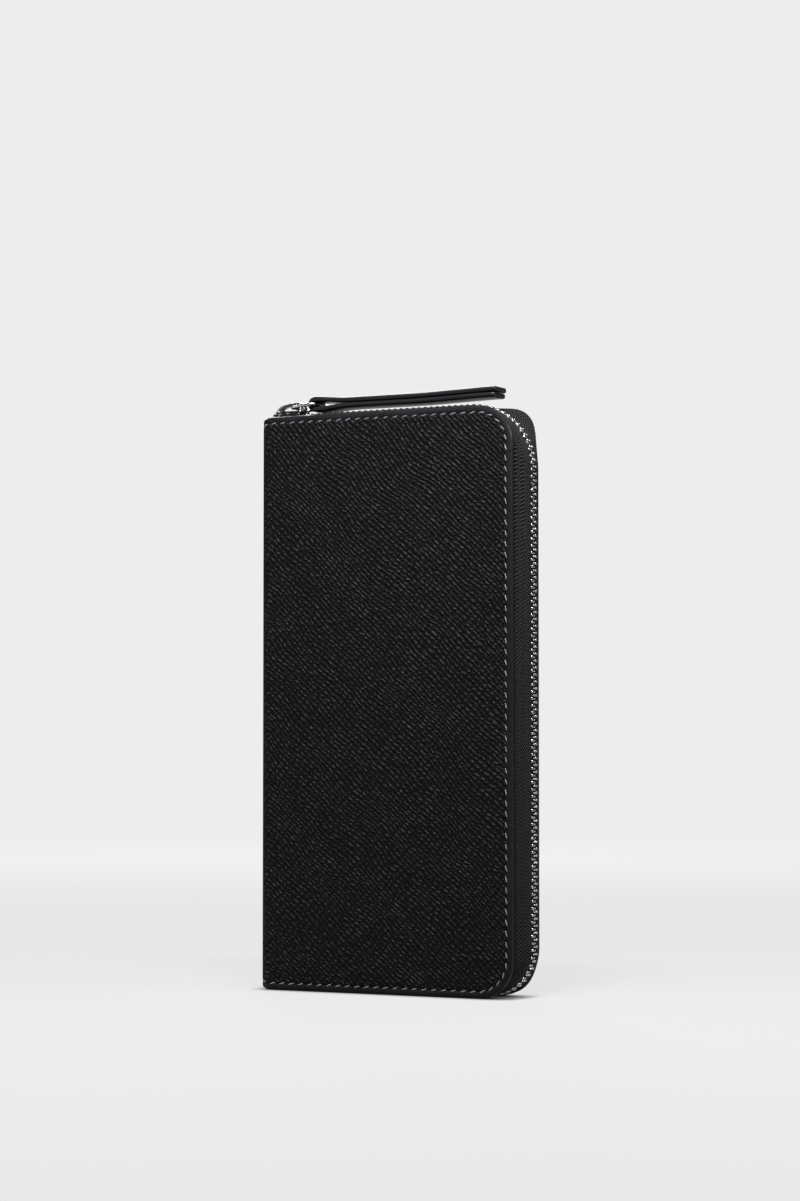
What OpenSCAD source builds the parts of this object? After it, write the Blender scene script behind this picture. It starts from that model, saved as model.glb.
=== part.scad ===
// Zip-around long wallet, standing on its short end.
// X runs from the spine to the zipped long side, Y from the front cover to the rear cover, Z up.
// The origin is under the middle of the wallet, on the surface that it stands on.

/* [Overall size] */
// Height of the standing wallet, which is its long side
height = 192.5; // [190:0.5:200]
// Width of the whole wallet, from the spine to the outside of the chain
width = 98.2; // [94:0.1:102]
// Thickness across both covers
thickness = 18.8; // [18.4:0.1:20]

/* [Covers] */
// Radius of the two rounded corners on the zipped side
corner_r = 12.5; // [11:0.5:14]
// Radius of the leather where it folds round the spine
fold_r = 3.5; // [3:0.1:3.8]
// Thickness of the outer leather
leather_t = 1; // [0.8:0.1:1.1]
// Thickness of the stiffener board
board_t = 1; // [0.8:0.1:1.1]
// Thickness of the linings and the card slots
lining_t = 0.5; // [0.4:0.05:0.5]

/* [Stitching] */
// Distance from one stitch to the next
stitch_pitch = 3.5; // [3:0.1:4]
// Distance from the cover's edge to the stitches
stitch_inset = 2.3; // [2:0.1:3]

/* [Card slots] */
// Length of the cards, which lie along the wallet's height in two rows
card_length = 85.6; // [85:0.1:87]
// Distance from the mouth of one slot to the next
slot_step = 11; // [9:1:11]

/* [Zip] */
// Distance from one tooth to the next on the same side
tooth_pitch = 2.26; // [2.2:0.02:2.6]
// Width of the closed chain
chain_w = 4; // [3.8:0.1:4.4]
// Thickness of the teeth
chain_t = 1.8; // [1.6:0.1:2]
// How far the chain stands above the covers' top edge
chain_rise = 1.5; // [1:0.1:1.8]
// How far the chain stands beyond the covers' long side
chain_reach = 3.8; // [3.4:0.1:4.2]
// Radius of the chain round the top corner
chain_r_top = 22; // [18:1:24]
// Radius of the chain round the bottom corner
chain_r_bottom = 16; // [15:1:18]

/* [Pull] */
// Length of the folded pull strap
strap_length = 71; // [50:1:80]
// Width of the pull strap
strap_w = 9; // [8:0.5:9]
// Thickness of one layer of the pull strap
strap_t = 1.65; // [1.5:0.05:1.7]
// Wire diameter of the pull ring
ring_wire = 1.2; // [1:0.1:1.3]

/* [Coin pocket] */
// Thickness of the space for coins
pocket_gap = 3; // [2.4:0.1:3]

/* [Hidden] */
$fn = 48;
gap = 0.05;
slot_count = 4;

// Planes through the thickness of the front cover; the rear cover mirrors them.
y_out = -thickness / 2;
y_board = y_out + leather_t;
y_rim = y_board + board_t;
y_lining = y_rim + lining_t;
y_base = y_lining + lining_t;
y_pocket = pocket_gap / 2;
pocket_wall = 0.7;

// Places along the width.
x_spine = -width / 2;
x_chain = width / 2;
x_edge = x_chain - chain_reach;
x_hinge = x_spine + fold_r;
x_inner = x_spine + leather_t + lining_t;

// The turned edge hides the board, and the tape is sewn inside it.
turn_w = 1;
tape_inset = 1.2;
tape_margin = 4.3;
tape_t = 0.5;
tape_flat = 2.4;

// Stitches lie in a groove, flush with the leather.
groove_w = 0.7;
stitch_depth = 0.2;
stitch_length = 2.5;
stitch_w = 0.5;

// Middle plane of the chain on the top, the long side and the bottom.
z_chain_top = height + chain_rise - chain_t / 2;
x_chain_mid = x_chain - chain_t / 2;
z_chain_bottom = 0.2 + chain_t / 2;
x_arc_top = x_chain - chain_r_top;
z_arc_top = height + chain_rise - chain_r_top;
r_arc_top = chain_r_top - chain_t / 2;
x_arc_bottom = x_chain - chain_r_bottom;
z_arc_bottom = 0.2 + chain_r_bottom;
r_arc_bottom = chain_r_bottom - chain_t / 2;
x_teeth = x_spine + 6.4;
x_tape = x_spine + 2.4;
head_reach = 0.6;
head_w = 0.9;
leg_w = 1.4;

// Slider and pull.
x_slider = x_spine + 2.6;
slider_l = 10;
slider_w_wide = 8.4;
slider_w_tail = 6.8;
slider_plate = 0.8;
slider_play = 0.15;
z_plate = z_chain_top + chain_t / 2 + slider_play;
x_crown_left = x_spine + 1.5;
x_crown_right = x_spine + 12.9;
x_crown_peak = x_spine + 9.5;
crown_t = 1.2;
crown_w = 2.2;
z_crown = z_plate + slider_plate + 3.05;
x_ring = x_crown_peak + 0.5;
z_ring = z_plate + slider_plate + 0.8;
ring_run = 8.2;
ring_rise = 0.9;
ring_tilt = atan2(ring_rise, ring_run);
ring_length = norm([ring_run, ring_rise]);
ring_half_w = strap_w / 2 + 1.1;
ring_corner = 1.3;
x_loop = x_ring + ring_run;
z_loop = z_ring + ring_rise;
loop_r = ring_wire / 2 + 0.3;
strap_split = 0.3;
x_strap_end = x_loop + strap_length - loop_r - strap_t;

// Card slots, a little longer than the cards, in two rows.
slots_h = card_length + 1;
row_gap = 2;
z_slots = (height - 2 * slots_h - row_gap) / 2;
slot_depth = 54;
x_slot_mouth = x_edge - 15;
x_card_base = x_spine + 8;
card_base_inset = 6;

// Coin pocket, whose own zip runs along its mouth; it is a little taller than both rows of slots.
pocket_h = 2 * slots_h + row_gap + 0.8;
z_pocket = (height - pocket_h) / 2;
x_pocket = x_spine + 79;
coin_chain_t = 2;
coin_chain_w = 4;
coin_pitch = 2.26;
x_coin_chain = x_pocket + 2.2;
coin_teeth_h = pocket_h - 22;
z_coin_slider = z_pocket + pocket_h - 16;

// Gussets.
gusset_depth = 25;
gusset_t = 0.4;
x_gusset = x_spine + 76;

// A flat panel that is rounded at its two zip-side corners.
module rounded_outline(x0, x1, z0, z1, r) {
    translate([x0, z0]) square([x1 - x0 - r, z1 - z0]);
    translate([x0 + 1, z0 + r]) square([x1 - x0 - 1, z1 - z0 - 2 * r]);
    for (z = [z0 + r, z1 - r]) translate([x1 - r, z]) circle(r);
}

// A slab between two planes across the thickness, in the shape of the 2D outline given to it.
module slab(y0, y1) {
    translate([0, y1, 0]) rotate([90, 0, 0]) linear_extrude(y1 - y0) children();
}

// A cover-shaped slab, inset from the cover's edge on its three zipped sides.
module cover_slab(y0, y1, inset, x0) {
    slab(y0, y1) rounded_outline(x0, x_edge - inset, inset, height - inset, corner_r - inset);
}

// A plain box given by its lowest and highest corners.
module block(low, high) {
    translate(low) cube(high - low);
}

// Outer leather of one cover: a skin with a turned edge that holds the board, and a groove for stitches.
module cover_leather() {
    color("#1b1b1e") difference() {
        cover_slab(y_out, y_rim, 0, x_hinge);
        cover_slab(y_board, y_rim + 1, turn_w, x_hinge - 1);
        difference() {
            cover_slab(y_out - 1, y_out + stitch_depth, stitch_inset - groove_w / 2, x_hinge - 1);
            cover_slab(y_out - 2, y_board, stitch_inset + groove_w / 2, x_hinge - 2);
        }
    }
}

module cover_board() {
    color("#6f6455") cover_slab(y_board, y_rim, turn_w + gap, x_hinge + 0.6);
}

module cover_lining() {
    color("#2b2a2c") cover_slab(y_rim, y_lining, tape_inset + tape_margin + gap, x_hinge + 0.6);
}

module card_base() {
    color("#222225") slab(y_lining, y_base)
        rounded_outline(x_card_base, x_edge - 7, card_base_inset, height - card_base_inset, corner_r - 7);
}

// One card slot: two pockets side by side along the height, with their mouths to the zipped side.
module card_slot(index) {
    y0 = y_base + gap + (index - 1) * (lining_t + gap);
    x1 = x_slot_mouth - (index - 1) * slot_step;
    x0 = max(x_card_base, x1 - slot_depth);
    color("#26262a") for (row = [0, 1])
        translate([0, 0, z_slots + row * (slots_h + row_gap)])
            block([x0, y0, 0], [x1, y0 + lining_t, slots_h]);
}

// Stitches of one cover, one small bar each, along its three zipped sides.
module cover_stitching() {
    r = corner_r - stitch_inset;
    x_arc = x_edge - corner_r;
    run = x_arc - x_hinge - 1;
    rise = height - 2 * corner_r;
    along = round(run / stitch_pitch);
    round_corner = round(r * PI / 2 / stitch_pitch);
    turn = 90 / round_corner;
    up = round(rise / stitch_pitch);
    color("#8d8d90") {
        for (z = [stitch_inset, height - stitch_inset], i = [0 : along - 1])
            translate([x_hinge + 1 + (i + 0.5) * run / along, y_out, z]) stitch();
        for (i = [0 : up - 1])
            translate([x_edge - stitch_inset, y_out, corner_r + (i + 0.5) * rise / up])
                rotate([0, 90, 0]) stitch();
        for (side = [0, 1], i = [0 : round_corner - 1])
            translate([x_arc, y_out, side == 0 ? corner_r : height - corner_r])
                rotate([0, side == 0 ? 180 - (i + 0.5) * turn : (i + 0.5) * turn, 0])
                    translate([0, 0, r]) stitch();
    }
}

module stitch() {
    block([-stitch_length / 2, 0, -stitch_w / 2], [stitch_length / 2, stitch_depth, stitch_w / 2]);
}

// Stations along the zip: the middle of the cover's arc, its radius, the same of the chain, and the angle.
root_r = corner_r - tape_inset;
arc_steps = 10;
arc_angles = [for (i = [0 : arc_steps]) 90 * i / arc_steps];
stations = concat(
    [[[x_tape, height - corner_r], [x_tape, z_arc_top], r_arc_top, 90]],
    [for (a = arc_angles)
        [[x_edge - corner_r, height - corner_r], [x_arc_top, z_arc_top], r_arc_top, 90 - a]],
    [for (a = arc_angles)
        [[x_edge - corner_r, corner_r], [x_arc_bottom, z_arc_bottom], r_arc_bottom, -a]],
    [[[x_tape, corner_r], [x_tape, z_arc_bottom], r_arc_bottom, -90]]
);

// Section of the tape: how far each corner has gone from the cover to the chain, its offset, and its place
// across the thickness.
y_tape_edge = -chain_w / 2 + 0.9;
y_tape_flat = -chain_w / 2 - tape_flat;
tape_section = [
    [0, -tape_margin, y_rim], [0, 0, y_rim], [0.35, tape_t / 2, y_rim + 0.7],
    [0.8, tape_t / 2, y_rim + 1.7], [1, tape_t / 2, y_tape_flat], [1, tape_t / 2, y_tape_edge],
    [1, -tape_t / 2, y_tape_edge], [1, -tape_t / 2, y_tape_flat - 0.1], [0.75, -tape_t / 2, y_rim + 1.9],
    [0.3, -tape_t / 2, y_rim + 1], [0, -tape_t, y_lining], [0, -tape_margin, y_lining]
];

function tape_point(st, p) =
    let (
        out = [cos(st[3]), sin(st[3])],
        root = st[0] + (root_r + p[1]) * out,
        chain = st[1] + (st[2] + p[1]) * out,
        at = (1 - p[0]) * root + p[0] * chain
    ) [at[0], p[2], at[1]];

module zip_tape() {
    corners = len(tape_section);
    last = len(stations) - 1;
    points = [for (st = stations, p = tape_section) tape_point(st, p)];
    sides = [for (i = [0 : last - 1], j = [0 : corners - 1])
        let (k = (j + 1) % corners)
        [i * corners + j, i * corners + k, (i + 1) * corners + k, (i + 1) * corners + j]];
    ends = [[for (j = [corners - 1 : -1 : 0]) j], [for (j = [0 : corners - 1]) last * corners + j]];
    color("#141516") polyhedron(points, concat(sides, ends), convexity = 10);
}

// One tooth of the front half: two legs clamped on the tape and a head that reaches past the middle.
module tooth() {
    y0 = -chain_w / 2;
    y1 = -head_reach - 0.1;
    translate([0, 0, -chain_t / 2]) linear_extrude(chain_t) polygon([
        [-leg_w / 2, y0], [leg_w / 2, y0], [leg_w / 2, y1], [head_w / 2, y1 + 0.2],
        [head_w / 2, head_reach], [-head_w / 2, head_reach], [-head_w / 2, y1 + 0.2], [-leg_w / 2, y1]
    ]);
}

// Teeth of one half, by stretch; shift moves the rear half on by half a pitch.
module teeth_run(length, shift) {
    count = round(length / tooth_pitch);
    for (i = [0 : count - 1]) translate([(i + 0.25 + shift / 2) * length / count, 0, 0]) tooth();
}

module teeth_arc(radius, shift) {
    count = round(radius * PI / 2 / tooth_pitch);
    for (i = [0 : count - 1])
        rotate([0, (i + 0.25 + shift / 2) * 90 / count, 0]) translate([0, 0, radius]) tooth();
}

module teeth_top(shift) {
    color("#c9cacc") {
        translate([x_teeth, 0, z_chain_top]) teeth_run(x_arc_top - x_teeth, shift);
        translate([x_arc_top, 0, z_arc_top]) teeth_arc(r_arc_top, shift);
    }
}

module teeth_side(shift) {
    color("#c9cacc") translate([x_chain_mid, 0, z_arc_top]) rotate([0, 90, 0])
        teeth_run(z_arc_top - z_arc_bottom, shift);
}

module teeth_bottom(shift) {
    color("#c9cacc") {
        translate([x_arc_bottom, 0, z_arc_bottom]) rotate([0, 90, 0]) teeth_arc(r_arc_bottom, shift);
        translate([x_arc_bottom, 0, z_chain_bottom]) rotate([0, 180, 0])
            teeth_run(x_arc_bottom - x_teeth, shift);
    }
}

// Folded side gusset: two legs that meet in a sloping fold, sewn to the card base and the coin pocket.
y_gusset_cover = y_base + slot_count * (lining_t + gap) + gap;
y_gusset_pocket = -y_pocket - pocket_wall - gap;
y_gusset_fold = (y_gusset_cover + y_gusset_pocket) / 2;

module gusset_leg(y_edge, y_fold) {
    points = [
        [x_hinge + 1, y_edge, 0], [x_gusset, y_edge, 0], [x_gusset, y_fold, -gusset_depth],
        [x_hinge + 1, y_edge + gusset_t, 0], [x_gusset, y_edge + gusset_t, 0],
        [x_gusset, y_fold + gusset_t, -gusset_depth]
    ];
    polyhedron(points, [[0, 1, 2], [3, 5, 4], [0, 3, 4, 1], [1, 4, 5, 2], [2, 5, 3, 0]]);
}

// The top gusset; the bottom one mirrors it.
module gusset() {
    z_seam = height - z_pocket + gap;
    color("#1f1f22") {
        translate([0, 0, z_seam]) {
            gusset_leg(y_gusset_cover, y_gusset_fold - gusset_t - gap / 2);
            gusset_leg(y_gusset_pocket - gusset_t, y_gusset_fold + gap / 2);
        }
        block([x_hinge + 1, y_base, z_seam], [x_gusset, y_gusset_cover + gusset_t, z_seam + 2]);
        block([x_hinge + 1, y_gusset_pocket - gusset_t, z_seam], [x_gusset, -y_pocket, z_seam + 2]);
    }
}

module at_bottom() {
    translate([0, 0, height]) mirror([0, 0, 1]) children();
}

// The leather across the spine, rounded an eighth of a turn at each side.
module spine_leather() {
    color("#1b1b1e") {
        block([x_spine, -thickness / 2 + fold_r, 0], [x_spine + leather_t, thickness / 2 - fold_r, height]);
        for (side = [0, 1]) mirror([0, side, 0])
            translate([x_hinge, y_out + fold_r, 0]) rotate([0, 0, 180]) fold_sector(45);
    }
}

module fold_sector(angle) {
    rotate_extrude(angle = angle) translate([fold_r - leather_t, 0]) square([leather_t, height]);
}

// The leather that bends when a cover opens.
module spine_fold() {
    color("#232327") translate([x_hinge, y_out + fold_r, 0]) rotate([0, 0, 225]) fold_sector(45);
}

module spine_lining() {
    color("#2b2a2c")
        block(
            [x_spine + leather_t, -thickness / 2 + fold_r, 0.6],
            [x_inner, thickness / 2 - fold_r, height - 0.6]
        );
}

// Coin pocket: two walls, bound along the spine side and both ends.
module pocket_wall_front() {
    color("#242428")
        block([x_inner, -y_pocket - pocket_wall, z_pocket], [x_pocket, -y_pocket, z_pocket + pocket_h]);
}

module pocket_binding() {
    inside = x_inner + 4;
    color("#1a1a1c") {
        block([x_inner, -y_pocket, z_pocket], [inside, y_pocket, z_pocket + pocket_h]);
        for (z = [z_pocket, z_pocket + pocket_h - 4])
            block([inside + gap, -y_pocket, z], [x_pocket, y_pocket, z + 4]);
    }
}

// One side of the coin zip's tape: sewn outside the wall's mouth, out round the slider and in to the chain.
module coin_tape() {
    y_wall = -y_pocket - pocket_wall;
    t = 0.3;
    y_side = -4.15;
    y_chain = -coin_chain_w / 2 + 0.8;
    outer = [
        [x_pocket - 2.6, y_wall - t], [x_pocket - 1.2, y_wall - t], [x_pocket + 0.4, y_side],
        [x_coin_chain - 0.2, y_side], [x_coin_chain + t / 2, y_side + 0.35], [x_coin_chain + t / 2, y_chain]
    ];
    inner = [
        [x_coin_chain - t / 2, y_chain], [x_coin_chain - t / 2, y_side + 0.45],
        [x_coin_chain - 0.35, y_side + t], [x_pocket + 0.55, y_side + t], [x_pocket - 1.05, y_wall],
        [x_pocket - 2.6, y_wall]
    ];
    color("#141516") translate([0, 0, z_pocket + 4.2]) linear_extrude(pocket_h - 8.4)
        polygon(concat(outer, inner));
}

module coin_tooth() {
    y0 = -coin_chain_w / 2;
    translate([-coin_chain_t / 2, 0, 0]) rotate([90, 0, 90]) linear_extrude(coin_chain_t) polygon([
        [y0, -leg_w / 2], [y0 + 1.3, -leg_w / 2], [y0 + 1.5, -head_w / 2], [head_reach, -head_w / 2],
        [head_reach, head_w / 2], [y0 + 1.5, head_w / 2], [y0 + 1.3, leg_w / 2], [y0, leg_w / 2]
    ]);
}

module coin_teeth(shift) {
    count = floor(coin_teeth_h / coin_pitch);
    color("#b9babd") for (i = [0 : count - 1])
        translate([x_coin_chain, 0, z_pocket + 8 + (i + 0.25 + shift / 2) * coin_pitch]) coin_tooth();
}

module coin_stops() {
    color("#b9babd") for (z = [z_pocket + 5, z_pocket + pocket_h - 7])
        block([x_coin_chain + 0.2, -1.9, z], [x_coin_chain + 1.2, 1.9, z + 1.6]);
}

// Outline of a slider plate, wide at the mouth and narrower at the tail.
module slider_outline(length, wide, tail) {
    polygon([
        [0, -wide / 2 + 1], [1, -wide / 2], [4.2, -wide / 2], [6.2, -tail / 2], [length - 0.8, -tail / 2],
        [length, -tail / 2 + 0.8], [length, tail / 2 - 0.8], [length - 0.8, tail / 2], [6.2, tail / 2],
        [4.2, wide / 2], [1, wide / 2], [0, wide / 2 - 1]
    ]);
}

// Slider body: two plates joined by the wedge that parts the teeth, with rims that leave a slot for the tape.
module slider_body(length, wide, tail, plate, opening, teeth_w, slot) {
    difference() {
        translate([0, 0, -opening / 2 - plate]) linear_extrude(opening + 2 * plate)
            slider_outline(length, wide, tail);
        translate([-1, -teeth_w / 2, -opening / 2]) cube([length + 2, teeth_w, opening]);
        translate([-1, -wide, -slot / 2]) cube([length + 2, 2 * wide, slot]);
    }
    translate([0, 0, -opening / 2]) linear_extrude(opening)
        polygon([[0, -0.9], [1.6, -0.9], [3, 0], [1.6, 0.9], [0, 0.9]]);
}

// Quarter ellipses for the crown's arch.
function quarter(cx, rx, rz, from) =
    [for (i = [0 : 8]) let (a = from + i * 90 / 8) [cx + rx * cos(a), rz * sin(a)]];

function arch(left, peak, right, rise) =
    concat(quarter(peak, right - peak, rise, 0), quarter(peak, peak - left, rise, 90));

module zip_slider() {
    color("#a9abb0") {
        translate([x_slider, 0, z_chain_top]) slider_body(
            slider_l, slider_w_wide, slider_w_tail, slider_plate, chain_t + 2 * slider_play,
            chain_w + 2 * slider_play, tape_t + 0.4
        );
        crown_base = z_plate + slider_plate - 0.1;
        translate([0, crown_w / 2, crown_base]) rotate([90, 0, 0]) linear_extrude(crown_w) difference() {
            polygon(arch(x_crown_left, x_crown_peak, x_crown_right, z_crown - crown_base));
            polygon(arch(
                x_crown_left + 1.9, x_crown_peak, x_crown_right - crown_t, z_crown - crown_base - crown_t
            ));
        }
    }
}

// Wire ring: two cross bars, two side bars and four bent corners, tilted up to the strap.
module pull_ring() {
    straight = ring_length - 2 * ring_corner;
    cross = 2 * (ring_half_w - ring_corner);
    color("#d3d4d7") translate([x_ring, 0, z_ring]) rotate([0, -ring_tilt, 0]) {
        for (x = [0, ring_length])
            translate([x, cross / 2, 0]) rotate([90, 0, 0]) cylinder(h = cross, d = ring_wire);
        for (y = [-ring_half_w, ring_half_w])
            translate([ring_corner, y, 0]) rotate([0, 90, 0]) cylinder(h = straight, d = ring_wire);
        for (x = [0, 1], y = [0, 1])
            translate([ring_length / 2, 0, 0]) mirror([x, 0, 0]) mirror([0, y, 0])
                translate([ring_length / 2 - ring_corner, cross / 2, 0])
                    rotate_extrude(angle = 90) translate([ring_corner, 0]) circle(d = ring_wire);
    }
}

// Folded strap: one strip of leather round the ring, doubled back on itself.
module pull_strap() {
    outer = loop_r + strap_t;
    color("#1d1d20") difference() {
        union() {
            translate([x_loop, strap_w / 2, z_loop]) rotate([90, 0, 0]) cylinder(h = strap_w, r = outer);
            block(
                [x_loop, -strap_w / 2, z_loop - strap_t - strap_split / 2],
                [x_strap_end, strap_w / 2, z_loop + strap_t + strap_split / 2]
            );
        }
        translate([x_loop, strap_w, z_loop]) rotate([90, 0, 0]) cylinder(h = 2 * strap_w, r = loop_r);
        block([x_loop, -strap_w, z_loop - strap_split / 2], [x_loop + 9, strap_w, z_loop + strap_split / 2]);
    }
}

module strap_stitching() {
    top = z_loop + strap_t + strap_split / 2;
    x0 = x_loop + 10;
    color("#8d8d90") for (y = [-2.8, 0, 2.8])
        block([x0, y - stitch_length / 2, top], [x0 + stitch_w, y + stitch_length / 2, top + 0.15]);
}

// Stops at the ends of the main chain.
module top_stops() {
    color("#c9cacc") for (side = [0, 1]) mirror([0, side, 0])
        block([x_spine + 1.6, -3.2, z_chain_top - 1], [x_tape - gap, -1.2, z_chain_top + 1]);
}

module bottom_stop() {
    color("#c9cacc")
        block([x_spine + 1.6, -2.3, z_chain_bottom - 1], [x_tape - gap, 2.3, z_chain_bottom + 1]);
}

// Coin slider, with a small crown for its pull tab.
module coin_slider() {
    crown_rise = 3;
    color("#a9abb0") {
        translate([x_coin_chain, 0, z_coin_slider + 9]) rotate([0, 90, 0])
            slider_body(9, 7, 5.6, 0.6, coin_chain_t + 0.3, coin_chain_w + 0.3, 1.1);
        translate([x_coin_chain + coin_chain_t / 2 + 0.7, 0.8, z_coin_slider + 4.5])
            rotate([90, 90, 0]) linear_extrude(1.6) difference() {
                polygon(arch(-3.5, 0, 3.5, crown_rise));
                polygon(arch(-2.5, 0, 2.5, crown_rise - 0.9));
            }
    }
}

// Flat tab that hangs from the coin slider's crown.
module coin_pull() {
    t = 0.8;
    w = 4.4;
    x0 = x_coin_chain + coin_chain_t / 2 + 1.2;
    z_pin = z_coin_slider + 4.5;
    color("#b9babd") {
        translate([x0 + t / 2, w / 2, z_pin]) rotate([90, 0, 0]) cylinder(h = w, d = t);
        for (y = [-w / 2, w / 2 - t]) translate([x0, y, z_pin - 4]) cube([t, t, 4]);
        block([x0, -w / 2, z_pin - 15], [x0 + t, w / 2, z_pin - 4]);
    }
}

module at_rear() {
    mirror([0, 1, 0]) children();
}

spine_leather();
spine_fold();  // spine_fold_front
at_rear() spine_fold();  // spine_fold_rear
spine_lining();
cover_leather();  // front_leather
cover_board();  // front_board
cover_lining();  // front_lining
card_base();  // front_card_base
card_slot(1);  // front_card_slot_1
card_slot(2);  // front_card_slot_2
card_slot(3);  // front_card_slot_3
card_slot(4);  // front_card_slot_4
cover_stitching();  // front_stitching
zip_tape();  // front_zip_tape
teeth_top(0);  // front_teeth_top
teeth_side(0);  // front_teeth_side
teeth_bottom(0);  // front_teeth_bottom
gusset();  // front_gusset_top
at_bottom() gusset();  // front_gusset_bottom
at_rear() cover_leather();  // rear_leather
at_rear() cover_board();  // rear_board
at_rear() cover_lining();  // rear_lining
at_rear() card_base();  // rear_card_base
at_rear() card_slot(1);  // rear_card_slot_1
at_rear() card_slot(2);  // rear_card_slot_2
at_rear() card_slot(3);  // rear_card_slot_3
at_rear() card_slot(4);  // rear_card_slot_4
at_rear() cover_stitching();  // rear_stitching
at_rear() zip_tape();  // rear_zip_tape
at_rear() teeth_top(1);  // rear_teeth_top
at_rear() teeth_side(1);  // rear_teeth_side
at_rear() teeth_bottom(1);  // rear_teeth_bottom
at_rear() gusset();  // rear_gusset_top
at_rear() at_bottom() gusset();  // rear_gusset_bottom
top_stops();  // zip_top_stops
bottom_stop();  // zip_bottom_stop
zip_slider();
pull_ring();
pull_strap();
strap_stitching();  // pull_strap_stitching
pocket_wall_front();  // coin_pocket_front
at_rear() pocket_wall_front();  // coin_pocket_rear
pocket_binding();  // coin_pocket_binding
coin_tape();  // coin_zip_tape_front
at_rear() coin_tape();  // coin_zip_tape_rear
coin_teeth(0);  // coin_teeth_front
at_rear() coin_teeth(1);  // coin_teeth_rear
coin_stops();  // coin_zip_stops
coin_slider();
coin_pull();  // coin_pull_tab
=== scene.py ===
"""Looks of the zip-around long wallet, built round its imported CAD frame, in millimetres unless noted."""
import math

import bpy
import numpy as np
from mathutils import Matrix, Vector


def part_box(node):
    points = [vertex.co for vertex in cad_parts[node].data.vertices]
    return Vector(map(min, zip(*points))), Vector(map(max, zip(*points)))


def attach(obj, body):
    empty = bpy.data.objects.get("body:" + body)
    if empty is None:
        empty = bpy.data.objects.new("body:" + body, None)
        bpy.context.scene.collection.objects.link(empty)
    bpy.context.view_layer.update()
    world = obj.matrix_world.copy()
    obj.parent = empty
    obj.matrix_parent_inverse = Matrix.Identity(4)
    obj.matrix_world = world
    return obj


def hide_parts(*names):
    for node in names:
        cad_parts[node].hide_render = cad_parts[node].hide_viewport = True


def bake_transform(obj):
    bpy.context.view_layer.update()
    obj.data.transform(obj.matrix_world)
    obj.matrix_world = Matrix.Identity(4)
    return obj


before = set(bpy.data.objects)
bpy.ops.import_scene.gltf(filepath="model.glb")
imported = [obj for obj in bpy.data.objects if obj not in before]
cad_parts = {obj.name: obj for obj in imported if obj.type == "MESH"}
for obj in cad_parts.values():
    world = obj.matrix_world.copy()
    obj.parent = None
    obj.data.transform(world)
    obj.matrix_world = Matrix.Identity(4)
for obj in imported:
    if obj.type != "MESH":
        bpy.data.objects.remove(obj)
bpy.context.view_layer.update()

MM = 0.001
SIDES = {"front": -1, "rear": 1}


def box_mm(node):
    """Lowest and highest corners of a CAD node, in millimetres."""
    low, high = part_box(node)
    return np.array(low) / MM, np.array(high) / MM


# ---------------------------------------------------------------- sizes from the frame
cover_low, cover_high = box_mm("front_leather")
spine_low, _ = box_mm("spine_leather")
side_low, side_high = box_mm("front_teeth_side")
tape_low, _ = box_mm("front_zip_tape")
slider_low, slider_high = box_mm("zip_slider")
ring_low, ring_high = box_mm("pull_ring")
strap_low, strap_high = box_mm("pull_strap")
coin_low, coin_high = box_mm("coin_teeth_front")
pocket_low, pocket_high = box_mm("coin_pocket_front")

HEIGHT = cover_high[2]
X_HINGE = cover_low[0]
X_EDGE = cover_high[0]
X_SPINE = spine_low[0]
Y_OUT = cover_low[1]
Y_RIM = cover_high[1]
FOLD_R = X_HINGE - X_SPINE
CORNER_R = 12.5
LEATHER_T = 1.0

# The chain: its width, thickness and pitch, its arcs round the corners, and where teeth and tape start.
CHAIN_W = -2 * side_low[1]
CHAIN_T = side_high[0] - side_low[0]
TOOTH_PITCH = 2.26
X_CHAIN = side_high[0] - CHAIN_T / 2
Z_CHAIN_TOP = box_mm("front_teeth_top")[1][2] - CHAIN_T / 2
Z_CHAIN_BOTTOM = box_mm("front_teeth_bottom")[0][2] + CHAIN_T / 2
R_ARC_TOP = 22 - CHAIN_T / 2
R_ARC_BOTTOM = 16 - CHAIN_T / 2
ARC_TOP = np.array([X_CHAIN - R_ARC_TOP, Z_CHAIN_TOP - R_ARC_TOP])
ARC_BOTTOM = np.array([X_CHAIN - R_ARC_BOTTOM, Z_CHAIN_BOTTOM + R_ARC_BOTTOM])
X_TEETH = X_SPINE + 6.4
X_TAPE = tape_low[0]
TAPE_INSET = 0.35
TAPE_T = 0.5

# Stitching of the covers, which lies in a groove.
STITCH_INSET = 2.3
STITCH_PITCH = 3.5
STITCH_SLANT = math.radians(16)
GROOVE_DEPTH = 0.17

# The camera looks from this far round the front towards the zipped side.
AZIMUTH = math.radians(27.75)

rng = np.random.default_rng(7)


# ---------------------------------------------------------------- mesh tools
def build(name, parts, body=None, materials=(), replaces=(), slot=None, blend=None):
    """One smooth piece from parts of (vertices in mm, faces, uvs in mm, material index, or one a face)."""
    points, faces, uvs, slots = [], [], [], []
    base = 0
    for vertices, part_faces, part_uvs, index in parts:
        points.append(np.asarray(vertices, float))
        uvs.append(np.asarray(part_uvs, float))
        faces += [[base + i for i in face] for face in part_faces]
        slots += index if isinstance(index, list) else [index] * len(part_faces)
        base += len(vertices)
    mesh = bpy.data.meshes.new(name)
    mesh.from_pydata((np.vstack(points) * MM).tolist(), [], faces)
    layer = mesh.uv_layers.new(name="UVMap")
    loops = np.zeros(len(mesh.loops), np.int64)
    mesh.loops.foreach_get("vertex_index", loops)
    layer.data.foreach_set("uv", np.vstack(uvs)[loops].astype(np.float32).ravel())
    for material in materials:
        mesh.materials.append(material)
    mesh.polygons.foreach_set("material_index", slots)
    mesh.polygons.foreach_set("use_smooth", [True] * len(faces))
    mesh.validate()
    piece = bpy.data.objects.new(name, mesh)
    bpy.context.scene.collection.objects.link(piece)
    if replaces:
        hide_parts(*replaces)
    if blend:
        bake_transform(piece)
    else:
        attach(piece, body)


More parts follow.
